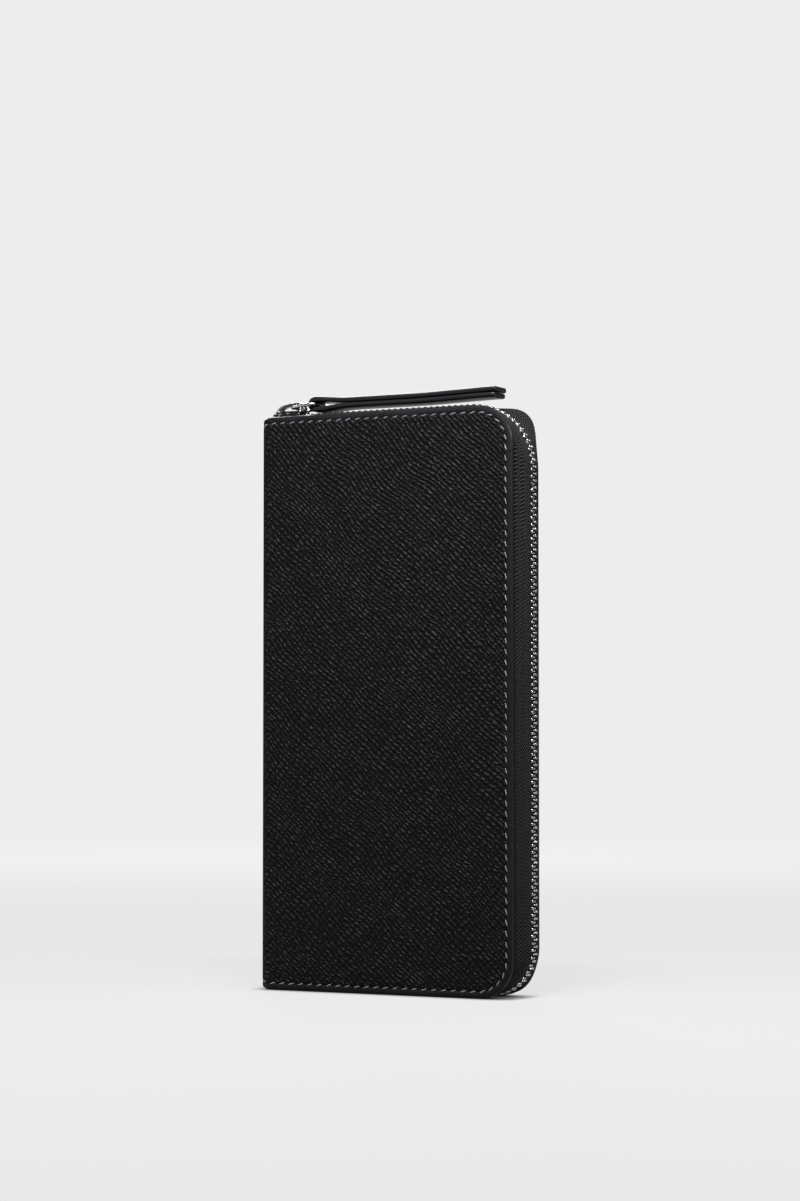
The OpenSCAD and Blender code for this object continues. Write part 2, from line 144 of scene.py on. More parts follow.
def grid(points, uvs, close_rows=False, close_columns=False, cap_ends=False, index=0):
    """Quads over rows of points, as one part."""
    points = np.asarray(points, float)
    rows, columns = points.shape[:2]
    faces = []
    for i in range(rows if close_rows else rows - 1):
        for j in range(columns if close_columns else columns - 1):
            a, b = i * columns + j, i * columns + (j + 1) % columns
            c = ((i + 1) % rows) * columns
            faces.append([a, b, c + (j + 1) % columns, c + j])
    if cap_ends:
        faces.append(list(range(columns))[::-1])
        faces.append([(rows - 1) * columns + j for j in range(columns)])
    return points.reshape(-1, 3), faces, np.asarray(uvs, float).reshape(-1, 2), index


def tube(rings, uvs):
    """Closed rings of points, capped at both ends, as one part."""
    return grid(rings, uvs, close_columns=True, cap_ends=True)


def mirrored(part):
    """A part on the other side of the middle plane between the covers."""
    points, faces, uvs, index = part
    return points * [1, -1, 1], [face[::-1] for face in faces], uvs, index


def on_side(parts, side):
    return parts if side == "front" else [mirrored(part) for part in parts]


def lengths(points):
    """Running length along a line of points."""
    steps = np.linalg.norm(np.diff(np.asarray(points, float), axis=0), axis=1)
    return np.concatenate([[0], np.cumsum(steps)])


def directions(line):
    """Unit directions along a line of points."""
    tangent = np.gradient(np.asarray(line, float), axis=0)
    return tangent / np.linalg.norm(tangent, axis=1)[:, None]


def thickened(line, thick):
    """Closed outline of a sheet along a line in a plane, and the running length at each of its points."""
    tangent, run = directions(line), lengths(line)
    normal = np.column_stack([-tangent[:, 1], tangent[:, 0]]) * thick / 2
    return np.vstack([line + normal, (line - normal)[::-1]]), np.concatenate([run, run[::-1]])


def unrolled_uvs(around, along):
    """UVs of a grid whose columns lie at these running lengths and whose rows lie at those."""
    return np.stack(np.broadcast_arrays(np.asarray(around)[None, :], np.asarray(along)[:, None]), axis=-1)


def sweep(path, across, normal, section, close_path=False, factors=None):
    """A closed section of (across, normal) offsets carried along a path with its own two directions.

    factors holds how much wider and how much thicker the section is at each point of the path.
    """
    path, across, normal, section = (np.asarray(v, float) for v in (path, across, normal, section))
    factors = np.ones((len(path), 2)) if factors is None else np.asarray(factors, float)
    points = (
        path[:, None]
        + across[:, None] * (section[None, :, :1] * factors[:, None, :1])
        + normal[:, None] * (section[None, :, 1:] * factors[:, None, 1:])
    )
    return grid(points, unrolled_uvs(lengths(section), lengths(path)), close_path, True, not close_path)


def rounded_section(width, height, radius, steps=4):
    """Corners of a rounded rectangle, anticlockwise, centred on the origin."""
    points = []
    for turn, (sx, sy) in enumerate(((1, 1), (-1, 1), (-1, -1), (1, -1))):
        for step in range(steps + 1):
            angle = math.pi / 2 * (turn + step / steps)
            points.append((
                sx * (width / 2 - radius) + radius * math.cos(angle),
                sy * (height / 2 - radius) + radius * math.sin(angle),
            ))
    return points


def circle_angles(steps):
    return np.arange(steps) * 2 * math.pi / steps


def circle_section(radius, steps=16):
    angles = circle_angles(steps)
    return np.stack([radius * np.cos(angles), radius * np.sin(angles)], axis=1)


def smoothstep(value):
    t = np.clip(value, 0, 1)
    return t * t * (3 - 2 * t)


def outline_loop(x0, x1, z0, z1, radius, steps=6):
    """Rounded rectangle in X and Z, as a closed line of points with their outward directions."""
    points, outward = [], []
    for turn, (cx, cz) in enumerate(((x1, z1), (x0, z1), (x0, z0), (x1, z0))):
        for step in range(steps + 1):
            angle = math.pi / 2 * (turn + step / steps)
            out = np.array([math.cos(angle), math.sin(angle)])
            centre = np.array([cx, cz]) + np.array([
                -radius if cx == x1 else radius, -radius if cz == z1 else radius])
            points.append(centre + radius * out)
            outward.append(out)
    return np.array(points), np.array(outward)


def rounded_levels(low, high, edge):
    """Inset and level of a plate's outline, from its lower face over both rounded edges to its upper one."""
    levels = []
    for step in range(4):
        a = math.pi / 2 * step / 3
        levels.append((edge * (1 - math.sin(a)), low + edge * (1 - math.cos(a))))
    for step in range(4):
        a = math.pi / 2 * step / 3
        levels.append((edge * (1 - math.cos(a)), high - edge * (1 - math.sin(a))))
    return levels


def plate(x0, x1, z0, z1, y0, y1, radius, edge):
    """A thin plate with rounded corners and rounded edges, between two planes across the thickness."""
    loop, outward = outline_loop(x0, x1, z0, z1, radius)
    rings, uvs = [], []
    for inset, y in rounded_levels(y0, y1, edge):
        ring = loop - outward * inset
        rings.append(np.column_stack([ring[:, 0], np.full(len(ring), y), ring[:, 1]]))
        uvs.append(ring)
    return tube(rings, uvs)


# ---------------------------------------------------------------- materials
def math_node(tree, operation, a, b=None, c=None):
    made = tree.nodes.new("ShaderNodeMath")
    made.operation = operation
    for socket, value in zip(made.inputs, (a, b, c)):
        if isinstance(value, (int, float)):
            socket.default_value = value
        elif value is not None:
            tree.links.new(value, socket)
    return made.outputs[0]


def sine(tree, value, pitch):
    """A sine wave of this pitch, from -1 to 1."""
    return math_node(tree, "SINE", math_node(tree, "MULTIPLY", value, 2 * math.pi / pitch))


def mixed_in(tree, main, extra, share):
    """The extra value's share, with the rest from the main one."""
    return math_node(tree, "MULTIPLY_ADD", extra, share, math_node(tree, "MULTIPLY", main, 1 - share))


def node(tree, kind, out=0, settings=None, **inputs):
    """Adds a node, sets its inputs by name and returns one output."""
    made = tree.nodes.new("ShaderNode" + kind)
    for key, value in (settings or {}).items():
        setattr(made, key, value)
    for key, value in inputs.items():
        socket = made.inputs[key.replace("_", " ")]
        if isinstance(value, bpy.types.NodeSocket):
            tree.links.new(value, socket)
        else:
            socket.default_value = value
    return made.outputs[out]


def ramp(tree, factor, low, high, at=(0, 1)):
    """A two-colour ramp; grey values may be given as numbers."""
    made = tree.nodes.new("ShaderNodeValToRGB")
    tree.links.new(factor, made.inputs[0])
    for stop, position, colour in zip(made.color_ramp.elements, at, (low, high)):
        stop.position = position
        stop.color = (colour,) * 3 + (1,) if isinstance(colour, (int, float)) else (*colour, 1)
    return made.outputs[0]


def bump(tree, height, distance, normal=None):
    made = tree.nodes.new("ShaderNodeBump")
    made.inputs["Strength"].default_value = 1.0
    made.inputs["Distance"].default_value = distance * MM
    tree.links.new(height, made.inputs["Height"])
    if normal is not None:
        tree.links.new(normal, made.inputs["Normal"])
    return made.outputs[0]


def new_material(name, **constants):
    material = bpy.data.materials.new(name)
    material.use_nodes = True
    tree = material.node_tree
    shader = tree.nodes["Principled BSDF"]
    for key, value in constants.items():
        shader.inputs[key.replace("_", " ")].default_value = value
    return material, tree, shader


def surface(tree, shader, colour=None, roughness=None, normal=None):
    for name, value in (("Base Color", colour), ("Roughness", roughness), ("Normal", normal)):
        if value is not None:
            tree.links.new(value, shader.inputs[name])


def mapped(tree, coordinates, scale):
    mapping = tree.nodes.new("ShaderNodeMapping")
    mapping.inputs["Scale"].default_value = scale
    tree.links.new(tree.nodes.new("ShaderNodeTexCoord").outputs[coordinates], mapping.inputs["Vector"])
    return mapping.outputs[0]


def uv_mm(tree, scale=(1, 1, 1)):
    """UV coordinates, which are in millimetres on every piece built here."""
    return mapped(tree, "UV", scale)


def object_mm(tree):
    """Object coordinates in millimetres."""
    return mapped(tree, "Object", (1 / MM,) * 3)


def split_xy(tree, vector):
    split = tree.nodes.new("ShaderNodeSeparateXYZ")
    tree.links.new(vector, split.inputs[0])
    return split.outputs[0], split.outputs[1]


# The pressed grain: ridges run down to the right at this angle, this far apart, broken into beads this long.
GRAIN_TURN = math.radians(-42)
RIDGE_PITCH = 1.45
BEAD_LENGTH = 2.2


def grain_place(tree, place):
    """Coordinates along and across the grain, bent by a broad noise, with the first one in bead lengths."""
    bend = node(tree, "TexNoise", 1, Vector=place, Scale=0.045, Detail=1.0)
    centred = node(tree, "VectorMath", settings={"operation": "SUBTRACT"}, Vector=bend)
    centred.node.inputs[1].default_value = (0.5, 0.5, 0.5)
    pushed = node(tree, "VectorMath", settings={"operation": "SCALE"}, Vector=centred, Scale=6.0)
    moved = node(tree, "VectorMath", settings={"operation": "ADD"}, Vector=place)
    tree.links.new(pushed, moved.node.inputs[1])
    return node(
        tree, "Mapping", settings={"vector_type": "TEXTURE"}, Vector=moved,
        Rotation=(0, 0, GRAIN_TURN), Scale=(BEAD_LENGTH / RIDGE_PITCH, 1.0, 1.0))


def grained_leather():
    """Pressed grain: wandering diagonal ridges broken into beads, with smoother crests and matt valleys; the
    crests are painted lighter as a painted highlight and the valleys darker as painted shade.
    """
    material, tree, shader = new_material("grained_leather", Specular_IOR_Level=0.05)
    place = uv_mm(tree)
    grain = grain_place(tree, place)
    along, across = split_xy(tree, grain)
    wander = node(tree, "TexNoise", 0, Vector=grain, Scale=0.7, Detail=1.0)
    ridge = sine(tree, math_node(tree, "MULTIPLY_ADD", wander, 1.15, across), RIDGE_PITCH)
    stagger = node(tree, "TexNoise", 0, Vector=grain, Scale=0.9, Detail=1.0)
    beads = sine(tree, math_node(tree, "MULTIPLY_ADD", stagger, 2.6, along), RIDGE_PITCH)
    crest = math_node(
        tree, "MULTIPLY", math_node(tree, "MULTIPLY_ADD", ridge, 0.5, 0.5),
        math_node(tree, "MULTIPLY_ADD", beads, 0.4, 0.6))
    fine = node(tree, "TexNoise", 0, Vector=place, Scale=3.2, Detail=3.0, Roughness=0.6)
    pores = node(tree, "TexNoise", 0, Vector=place, Scale=9.0, Detail=2.0)
    normal = bump(tree, math_node(tree, "MULTIPLY_ADD", fine, 0.15, crest), 0.46)
    normal = bump(tree, pores, 0.012, normal=normal)
    broad = node(tree, "TexNoise", 0, Vector=place, Scale=0.03, Detail=2.0)
    # Painted highlight and shade: the crests are painted lighter and the valleys darker, on a faint random
    # tone.
    tone_with_painted_crest_light = math_node(tree, "MULTIPLY_ADD", broad, 0.08, math_node(tree, "MULTIPLY", crest, 0.9))
    colour = ramp(tree, tone_with_painted_crest_light, (0.0018, 0.0018, 0.0020), (0.0062, 0.0062, 0.0068), (0.35, 0.95))
    surface(tree, shader, colour, ramp(tree, mixed_in(tree, crest, fine, 0.3), 0.55, 0.34), normal)
    return material


def smooth_leather(name, dark, light, rough_low, rough_high, grain=0.05, specular=0.14):
    """Smooth calf leather with fine creases and pores."""
    material, tree, shader = new_material(name, Specular_IOR_Level=specular)
    place = object_mm(tree)
    creases = node(
        tree, "TexVoronoi", 0, {"feature": "DISTANCE_TO_EDGE"}, Vector=place, Scale=1.7, Randomness=1.0)
    soft = ramp(tree, creases, 0.0, 1.0, (0.0, 0.22))
    pores = node(tree, "TexNoise", 0, Vector=place, Scale=5.0, Detail=4.0, Roughness=0.65)
    height = math_node(tree, "MULTIPLY_ADD", pores, 0.6, soft)
    broad = node(tree, "TexNoise", 0, Vector=place, Scale=0.09, Detail=3.0)
    surface(
        tree, shader,
        ramp(tree, broad, dark, light, (0.3, 0.75)),
        ramp(tree, pores, rough_low, rough_high, (0.3, 0.7)),
        bump(tree, height, grain),
    )
    return material


def edge_paint():
    """Painted leather edge: smooth, a little glossy, with faint runs along it."""
    material, tree, shader = new_material("edge_paint", Specular_IOR_Level=0.16, Coat_Weight=0.03)
    shader.inputs["Coat Roughness"].default_value = 0.28
    place = uv_mm(tree, (1.2, 0.12, 1.0))
    runs = node(tree, "TexNoise", 0, Vector=place, Scale=2.0, Detail=3.0)
    surface(
        tree, shader,
        ramp(tree, runs, (0.002, 0.002, 0.0025), (0.005, 0.005, 0.006), (0.3, 0.7)),
        ramp(tree, runs, 0.46, 0.32, (0.3, 0.7)),
        bump(tree, runs, 0.03),
    )
    return material


def twill_tape():
    """Zip tape: a herringbone twill whose ribs change direction every couple of millimetres."""
    material, tree, shader = new_material("twill_tape", Specular_IOR_Level=0.03, Sheen_Weight=0.01)
    shader.inputs["Sheen Roughness"].default_value = 0.5
    across, along = split_xy(tree, uv_mm(tree))
    zigzag = math_node(tree, "PINGPONG", across, 1.3)
    rib = sine(tree, math_node(tree, "MULTIPLY_ADD", zigzag, 1.9, along), 1.25)
    lift = math_node(tree, "MULTIPLY_ADD", sine(tree, across, 0.30), 0.2, rib)
    fibres = node(tree, "TexNoise", 0, Vector=uv_mm(tree), Scale=4.5, Detail=3.0)
    mixed = mixed_in(tree, math_node(tree, "MULTIPLY_ADD", lift, 0.37, 0.5), fibres, 0.35)
    surface(
        tree, shader,
        ramp(tree, mixed, (0.0003, 0.0003, 0.0003), (0.030, 0.030, 0.026), (0.42, 0.82)),
        ramp(tree, mixed, 0.85, 0.6),
        bump(tree, mixed, 0.42),
    )
    return material


def metal(name, dark, light, rough_low, rough_high, scratches=0.02):
    """Plated metal with faint tarnish and hairline scratches."""
    material, tree, shader = new_material(name, Metallic=1.0)
    place = object_mm(tree)
    cloud = node(tree, "TexNoise", 0, Vector=place, Scale=0.55, Detail=4.0)
    fine = node(tree, "TexNoise", 0, Vector=place, Scale=7.0, Detail=2.0)
    surface(
        tree, shader,
        ramp(tree, cloud, dark, light, (0.3, 0.7)),
        ramp(tree, fine, rough_low, rough_high, (0.3, 0.75)),
        bump(tree, fine, scratches),
    )
    return material


def thread():
    """Waxed two-ply thread: its plies run round the stitch."""
    material, tree, shader = new_material("thread", Specular_IOR_Level=0.4, Sheen_Weight=0.3)
    around, along = split_xy(tree, uv_mm(tree))
    ply = sine(tree, math_node(tree, "MULTIPLY_ADD", around, 1.6, along), 0.55)
    fuzz = node(tree, "TexNoise", 0, Vector=uv_mm(tree), Scale=6.0, Detail=3.0)
    mixed = mixed_in(tree, math_node(tree, "MULTIPLY_ADD", ply, 0.5, 0.5), fuzz, 0.4)
    surface(
        tree, shader,
        ramp(tree, mixed, (0.03, 0.03, 0.031), (0.17, 0.17, 0.174), (0.15, 0.85)),
        ramp(tree, mixed, 0.7, 0.5),
        bump(tree, mixed, 0.06),
    )
    return material


def painted_hole_shade():
    """Painted shade inside an awl hole: near black and a little uneven."""
    material, tree, shader = new_material("painted_hole_shade", Specular_IOR_Level=0.0)
    hole_noise = node(tree, "TexNoise", 0, Vector=object_mm(tree), Scale=4.0, Detail=2.0)
    colour = ramp(tree, hole_noise, (0.001, 0.001, 0.001), (0.004, 0.004, 0.004))
    surface(tree, shader, colour, ramp(tree, hole_noise, 0.95, 0.8), bump(tree, hole_noise, 0.05))
    return material


def lining_cloth():
    """Plain-woven lining."""
    material, tree, shader = new_material("lining_cloth", Specular_IOR_Level=0.3, Sheen_Weight=0.2)
    place = object_mm(tree)
    weave = [node(tree, "TexWave", 1, {"bands_direction": way}, Vector=place, Scale=0.55) for way in "XZ"]
    fuzz = node(tree, "TexNoise", 0, Vector=place, Scale=3.0, Detail=3.0)
    mixed = mixed_in(tree, math_node(tree, "MULTIPLY", *weave), fuzz, 0.5)
    surface(
        tree, shader,
        ramp(tree, mixed, (0.020, 0.020, 0.022), (0.075, 0.073, 0.078), (0.2, 0.8)),
        ramp(tree, mixed, 0.85, 0.65),
        bump(tree, mixed, 0.10),
    )
    return material


def fibre_board():
    material, tree, shader = new_material("fibre_board", Specular_IOR_Level=0.25)
    place = object_mm(tree)
    fibres = node(tree, "TexNoise", 0, Vector=place, Scale=1.8, Detail=6.0, Roughness=0.7, Distortion=1.5)
    surface(
        tree, shader,
        ramp(tree, fibres, (0.16, 0.13, 0.10), (0.34, 0.29, 0.23), (0.3, 0.7)),
        ramp(tree, fibres, 0.95, 0.8),
        bump(tree, fibres, 0.12),
    )
    return material


LEATHER = grained_leather()
PANEL = smooth_leather("panel_leather", (0.010, 0.010, 0.011), (0.018, 0.017, 0.019), 0.42, 0.60)
STRAP = smooth_leather("strap_leather", (0.003, 0.003, 0.004), (0.007, 0.007, 0.009), 0.50, 0.66, 0.035, 0.07)
PAINT = edge_paint()
MARGIN = smooth_leather(
    "margin_leather", (0.002, 0.002, 0.0025), (0.005, 0.005, 0.006), 0.50, 0.66, 0.06, 0.08)
TAPE = twill_tape()
NICKEL = metal("nickel_teeth", (0.30, 0.30, 0.305), (0.55, 0.55, 0.555), 0.16, 0.28)
GUNMETAL = metal("slider_nickel", (0.06, 0.06, 0.066), (0.13, 0.13, 0.14), 0.20, 0.30, 0.003)
SILVER = metal("ring_nickel", (0.34, 0.34, 0.35), (0.52, 0.52, 0.53), 0.20, 0.28, 0.003)
THREAD = thread()
# The awl holes' near-black colour is painted shade.
HOLE_SHADE = painted_hole_shade()
CLOTH = lining_cloth()
BOARD = fibre_board()


# ---------------------------------------------------------------- outer leather
def spine_drop(x):
    """How far the leather's ends draw in towards the fold of the spine."""
    return 0.6 * smoothstep((X_HINGE + 1 - x) / (FOLD_R + 1))


def cover_stations(step=3.0, arc_steps=14):
    """Along the three zipped sides: centre of the corner's arc, and the outward direction in degrees."""
    x_arc, z_top, z_bottom = X_EDGE - CORNER_R, HEIGHT - CORNER_R, CORNER_R
    top = np.arange(X_HINGE, x_arc - step / 2, step)
    angles = np.linspace(90, 0, arc_steps)
    rows = [(x, z_top, 90) for x in top]
    rows += [(x_arc, z_top, a) for a in angles]
    rows += [(x_arc, z, 0) for z in np.linspace(z_top, z_bottom, int((z_top - z_bottom) / step))[1:-1]]
    rows += [(x_arc, z_bottom, -a) for a in angles[::-1]]
    rows += [(x, z_bottom, -90) for x in top[::-1]]
    return np.array(rows)


def cover_ring(stations, inset):
    """The cover's outline at an inset that is smaller than the corner's radius."""
    angle = np.radians(stations[:, 2])
    out = np.stack([np.cos(angle), np.sin(angle)], axis=1)
    return stations[:, :2] + (CORNER_R - inset) * out


# Section of the cover's edge, from under the tape, over the rim and the stitched groove, to the face:
# inset from the edge, depth below the face.
EDGE_SECTION = [
    (3.0, 2.02), (1.6, 2.02), (0.9, 1.98), (0.35, 1.80), (0.07, 1.48), (0.0, 1.15), (0.02, 0.80),
    (0.12, 0.48), (0.34, 0.22), (0.66, 0.07), (1.05, 0.01), (1.5, 0.0), (1.85, 0.03), (2.05, 0.12),
    (2.3, GROOVE_DEPTH), (2.55, 0.12), (2.75, 0.03), (3.1, -0.02), (3.8, -0.04),
]
# Stretches of that section by material: the painted rim, and the smooth margin up to the stitches' groove.
PAINTED_FROM, MARGIN_FROM, GROOVE = 3, 8, 14
# Insets of the rings that the face has inside that section.
FACE_INSETS = (5.5, 8.5)


def edge_unrolled():
    """Distance of each section point from the face's edge, measured over the leather."""
    run = lengths(EDGE_SECTION)
    flat = next(i for i, (_, depth) in enumerate(EDGE_SECTION) if depth <= 0.0)
    return run - run[flat] + EDGE_SECTION[flat][0]


def cover_leather(side):
    """One cover's leather: its turned edge, painted rim, smooth margin and grained face, a little uneven."""
    stations = cover_stations()
    wave = 0.035 * np.sin(stations[:, 1] / 17.0) + 0.03 * np.sin(stations[:, 1] / 6.1 + stations[:, 0] / 9.0)
    rows, uvs = [], []
    section = EDGE_SECTION + [(inset, -0.05 - 0.002 * inset) for inset in FACE_INSETS]
    for (inset, depth), flat_inset in zip(section, [*edge_unrolled(), *FACE_INSETS]):
        ring = cover_ring(stations, inset)
        fade = max(0.0, 1 - inset / 8)
        y = Y_OUT + depth + wave * fade * (0.5 if depth > 1 else 1)
        z = HEIGHT / 2 + (ring[:, 1] - HEIGHT / 2) * (1 - spine_drop(ring[:, 0]) / (HEIGHT / 2))
        rows.append(np.column_stack([ring[:, 0], y, z]))
        uvs.append(cover_ring(stations, min(flat_inset, inset) if inset < 2 else inset))
    last = len(rows) - 1
    parts = []
    for start, stop, index in (
        (0, PAINTED_FROM, 0), (GROOVE, last, 0), (PAINTED_FROM, MARGIN_FROM, 1), (MARGIN_FROM, GROOVE, 2),
    ):
        points, faces, flat, _ = grid(rows[start:stop + 1], uvs[start:stop + 1])
        if stop == last:
            faces.append([len(points) - len(stations) + i for i in range(len(stations))])
        parts.append((points, [face[::-1] for face in faces], flat, index))
    build(
        f"{side}_cover_skin", on_side(parts, side), f"{side}_cover",
        [LEATHER, PAINT, MARGIN], [f"{side}_leather"], "grained_leather",
    )


def leather_strip(turns, name, **options):
    """Leather across the spine: the edge section at both ends of the height, carried along directions in XY.

    turns holds each station's outer point, inward direction, unrolled place, and the drop of its ends.
    """
    unrolled = edge_unrolled()
    rows, uvs = [], []
    for (x, y), (nx, ny), run, drop in turns:
        column, flat = [], []
        for end in (1, -1):
            for (inset, depth), flat_inset in list(zip(EDGE_SECTION, unrolled))[::end]:
                inward = depth if depth < 1 else 0.85 + depth * 0.3
                z = HEIGHT / 2 + end * (HEIGHT / 2 - inset - drop)
                column.append((x + nx * inward, y + ny * inward, z))
                flat.append((run, HEIGHT / 2 + end * (HEIGHT / 2 - min(flat_inset, inset))))
        for z_part in (-0.5, 0.0, 0.5):
            column.append((x + nx * LEATHER_T, y + ny * LEATHER_T, HEIGHT / 2 + z_part * HEIGHT * 0.9))
            flat.append((run, HEIGHT / 2 + z_part * HEIGHT * 0.9))
        rows.append(column)
        uvs.append(flat)
    part = grid(rows, uvs, close_columns=True)
    build(name, [part], materials=[LEATHER], slot="grained_leather", **options)


def fold_point(side, angle):
    """Outer point and inward direction on the fold; the angle runs from 0 at the cover to 90 at the spine."""
    a = math.radians(angle)
    sign = SIDES[side]
    centre = np.array([X_HINGE, sign * (-Y_OUT - FOLD_R)])
    out = np.array([-math.sin(a), sign * math.cos(a)])
    return centre + FOLD_R * out, -out


def fold_blend(side):
    sign = SIDES[side]
    return (f"{side}_cover", "spine", (X_HINGE, -sign * Y_OUT, 0), (X_SPINE, sign * (-Y_OUT - FOLD_R), 0))


def spine_skin():
    arc = FOLD_R * math.pi / 2
    half = -Y_OUT - FOLD_R
    for side in SIDES:
        turns = []
        for angle in np.linspace(0, 90, 13):
            point, inward = fold_point(side, angle)
            turns.append((point, inward, X_HINGE - arc * angle / 90, spine_drop(point[0])))
        leather_strip(
            turns[::-1] if side == "rear" else turns, f"spine_fold_skin_{side}",
            replaces=[f"spine_fold_{side}"], blend=fold_blend(side))
    turns = []
    for y in np.linspace(-half, half, 9):
        sag = 0.12 * (1 - (y / half) ** 2)
        turns.append(((X_SPINE - sag, y), (1.0, 0.0), X_HINGE - arc - half - y, spine_drop(X_SPINE)))
    leather_strip(turns, "spine_skin", replaces=["spine_leather"], body="spine")


# ---------------------------------------------------------------- stitches
def stitch_part(length=2.3, width=0.36, height=0.34):
    """One saddle stitch along X, its crest up along the third axis; the ends dip into their holes."""
    angles = circle_angles(10)
    rows, uvs = [], []
    for t in np.linspace(-1, 1, 11):
        fat = max(1 - abs(t) ** 3.2, 0.0) ** 0.5 * 0.9 + 0.1
        lobes = fat * (1 + 0.10 * np.cos(2 * angles + t * 5.0))
        x = np.full(len(angles), t * length / 2)
        y, z = width / 2 * lobes * np.cos(angles), height / 2 * lobes * np.sin(angles) - 0.22 * abs(t) ** 4
        rows.append(np.column_stack([x, y, z]))
        uvs.append(np.column_stack([angles * width / 2, x]))
    return tube(rows, uvs)


def hole_part(radius=0.5):
    """The awl hole beside a stitch: a shallow dish with a raised lip, dark with painted shade."""
    angles = circle_angles(10)
    rows = []
    for ring, lift in ((1.25, -0.02), (1.0, 0.035), (0.75, 0.0), (0.2, -0.06)):
        x, y = radius * ring * np.cos(angles), 0.8 * radius * ring * np.sin(angles)
        rows.append(np.column_stack([x, y, np.full(len(angles), lift)]))
    points, faces, uvs, _ = grid(rows, [row[:, :2] for row in rows], close_columns=True)
    faces.append([len(points) - len(angles) + i for i in range(len(angles))])
    return points, faces, uvs, 1


def placed(part, origin, along, up, slant=0.0):
    """A part whose X runs along a line and whose Z is up, turned in its plane by the slant."""
    points, faces, uvs, index = part
    along, up = np.asarray(along, float), np.asarray(up, float)
    side = np.cross(up, along)
    x = along * math.cos(slant) + side * math.sin(slant)
    y = np.cross(up, x)
    moved = np.asarray(origin) + points[:, :1] * x + points[:, 1:2] * y + points[:, 2:] * up
    return moved, faces, uvs, index


def seam(places, holes=True):
    """Stitches, each a little off its slant, and the holes between them, at (point, along, up) places."""
    parts, stitch, hole = [], stitch_part(), hole_part()
    for point, along, up in places:
        slant = STITCH_SLANT + rng.normal(0, 0.03)
        point, along, up = (np.asarray(v, float) for v in (point, along, up))
        parts.append(placed(stitch, point + up * 0.10, along, up, slant))
        if holes:
            parts.append(placed(hole, point + along * STITCH_PITCH / 2 + up * 0.02, along, up))
    return parts


def middles(length):
    """Places of the stitches along a stretch."""
    count = round(length / STITCH_PITCH)
    return [(i + 0.5) * length / count for i in range(count)]


def cover_seam_places():
    """Point, direction and up of each stitch: along the top, round the corner, down the side, and back."""
    radius, x_arc, level, up = CORNER_R - STITCH_INSET, X_EDGE - CORNER_R, Y_OUT + GROOVE_DEPTH, (0, -1, 0)

    def corner(z_arc, start):
        for run in middles(radius * math.pi / 2):
            a = start - run / radius
            point = (x_arc + radius * math.cos(a), level, z_arc + radius * math.sin(a))
            places.append((point, (math.sin(a), 0, -math.cos(a)), up))

    places = []
    for run in middles(x_arc - X_HINGE):
        x = X_HINGE + run
        places.append(((x, level, HEIGHT - STITCH_INSET - spine_drop(x)), (1, 0, 0), up))
    corner(HEIGHT - CORNER_R, math.pi / 2)
    for run in middles(HEIGHT - 2 * CORNER_R):
        places.append(((X_EDGE - STITCH_INSET, level, HEIGHT - CORNER_R - run), (0, 0, -1), up))
    corner(CORNER_R, 0.0)
    for run in middles(x_arc - X_HINGE):
        x = x_arc - run
        places.append(((x, level, STITCH_INSET + spine_drop(x)), (-1, 0, 0), up))
    return places


def stitching():
    """The seams of both covers, and the few stitches at the ends of both folds and of the spine."""
    for side in SIDES:
        build(
            f"{side}_edge_stitches", on_side(seam(cover_seam_places()), side), f"{side}_cover",
            [THREAD, HOLE_SHADE], [f"{side}_stitching"], "thread",
        )
        places = []
        for angle in (26, 78):
            point, inward = fold_point("front", angle)
            a = math.radians(angle)
            low = STITCH_INSET + spine_drop(point[0])
            for z in (HEIGHT - low, low):
                places.append(((*(point + inward * 0.27), z), (math.cos(a), -math.sin(a), 0), (*-inward, 0)))
        build(
            f"spine_fold_stitches_{side}", on_side(seam(places, holes=False), side), None,
            [THREAD], slot="thread", blend=fold_blend(side),
        )
    low = STITCH_INSET + spine_drop(X_SPINE)
    places = [
        ((X_SPINE + 0.05, y, z), (0, 1, 0), (-1, 0, 0))
        for y in np.arange(-1, 2) * STITCH_PITCH for z in (HEIGHT - low, low)
    ]
    build("spine_stitches", seam(places, holes=False), "spine", [THREAD], slot="thread")


# ---------------------------------------------------------------- main zip
ROOT_R = CORNER_R - TAPE_INSET
# How far the tape is sewn in behind the lining, and how far its slack stands out round the two corners.
SEWN_MARGIN = 5.25
PUCKER = {"front": (0.0, 0.0), "rear": (2.8, 0.8)}


def zip_stations():
    """Along the zip, from the spine and back: centres of the cover's and chain's arcs, radius and angle."""
    cover_top = np.array([X_EDGE - CORNER_R, HEIGHT - CORNER_R])
    cover_bottom = np.array([X_EDGE - CORNER_R, CORNER_R])

    def straight(cover, chain, radius, angle):
        """From the tape's start to the corner, through the wallet's middle, where X is 0."""
        first = np.linspace(X_TAPE, 0, int(-X_TAPE / 4))[:-1]
        rows = [((x, cover[1]), (x, chain[1]), radius, angle) for x in first]
        for t in np.linspace(0, 1, 8)[:-1]:
            rows.append(((t * cover[0], cover[1]), (t * chain[0], chain[1]), radius, angle))
        return rows

    rows = straight(cover_top, ARC_TOP, R_ARC_TOP, 90)
    rows += [(cover_top, ARC_TOP, R_ARC_TOP, a) for a in np.linspace(90, 0, 16)]
    for t in np.linspace(0, 1, 40)[1:-1]:
        cover, chain = cover_top + (cover_bottom - cover_top) * t, ARC_TOP + (ARC_BOTTOM - ARC_TOP) * t
        rows.append((cover, chain, R_ARC_TOP + (R_ARC_BOTTOM - R_ARC_TOP) * t, 0))
    rows += [(cover_bottom, ARC_BOTTOM, R_ARC_BOTTOM, a) for a in np.linspace(0, -90, 16)]
    return rows + straight(cover_bottom, ARC_BOTTOM, R_ARC_BOTTOM, -90)[::-1]


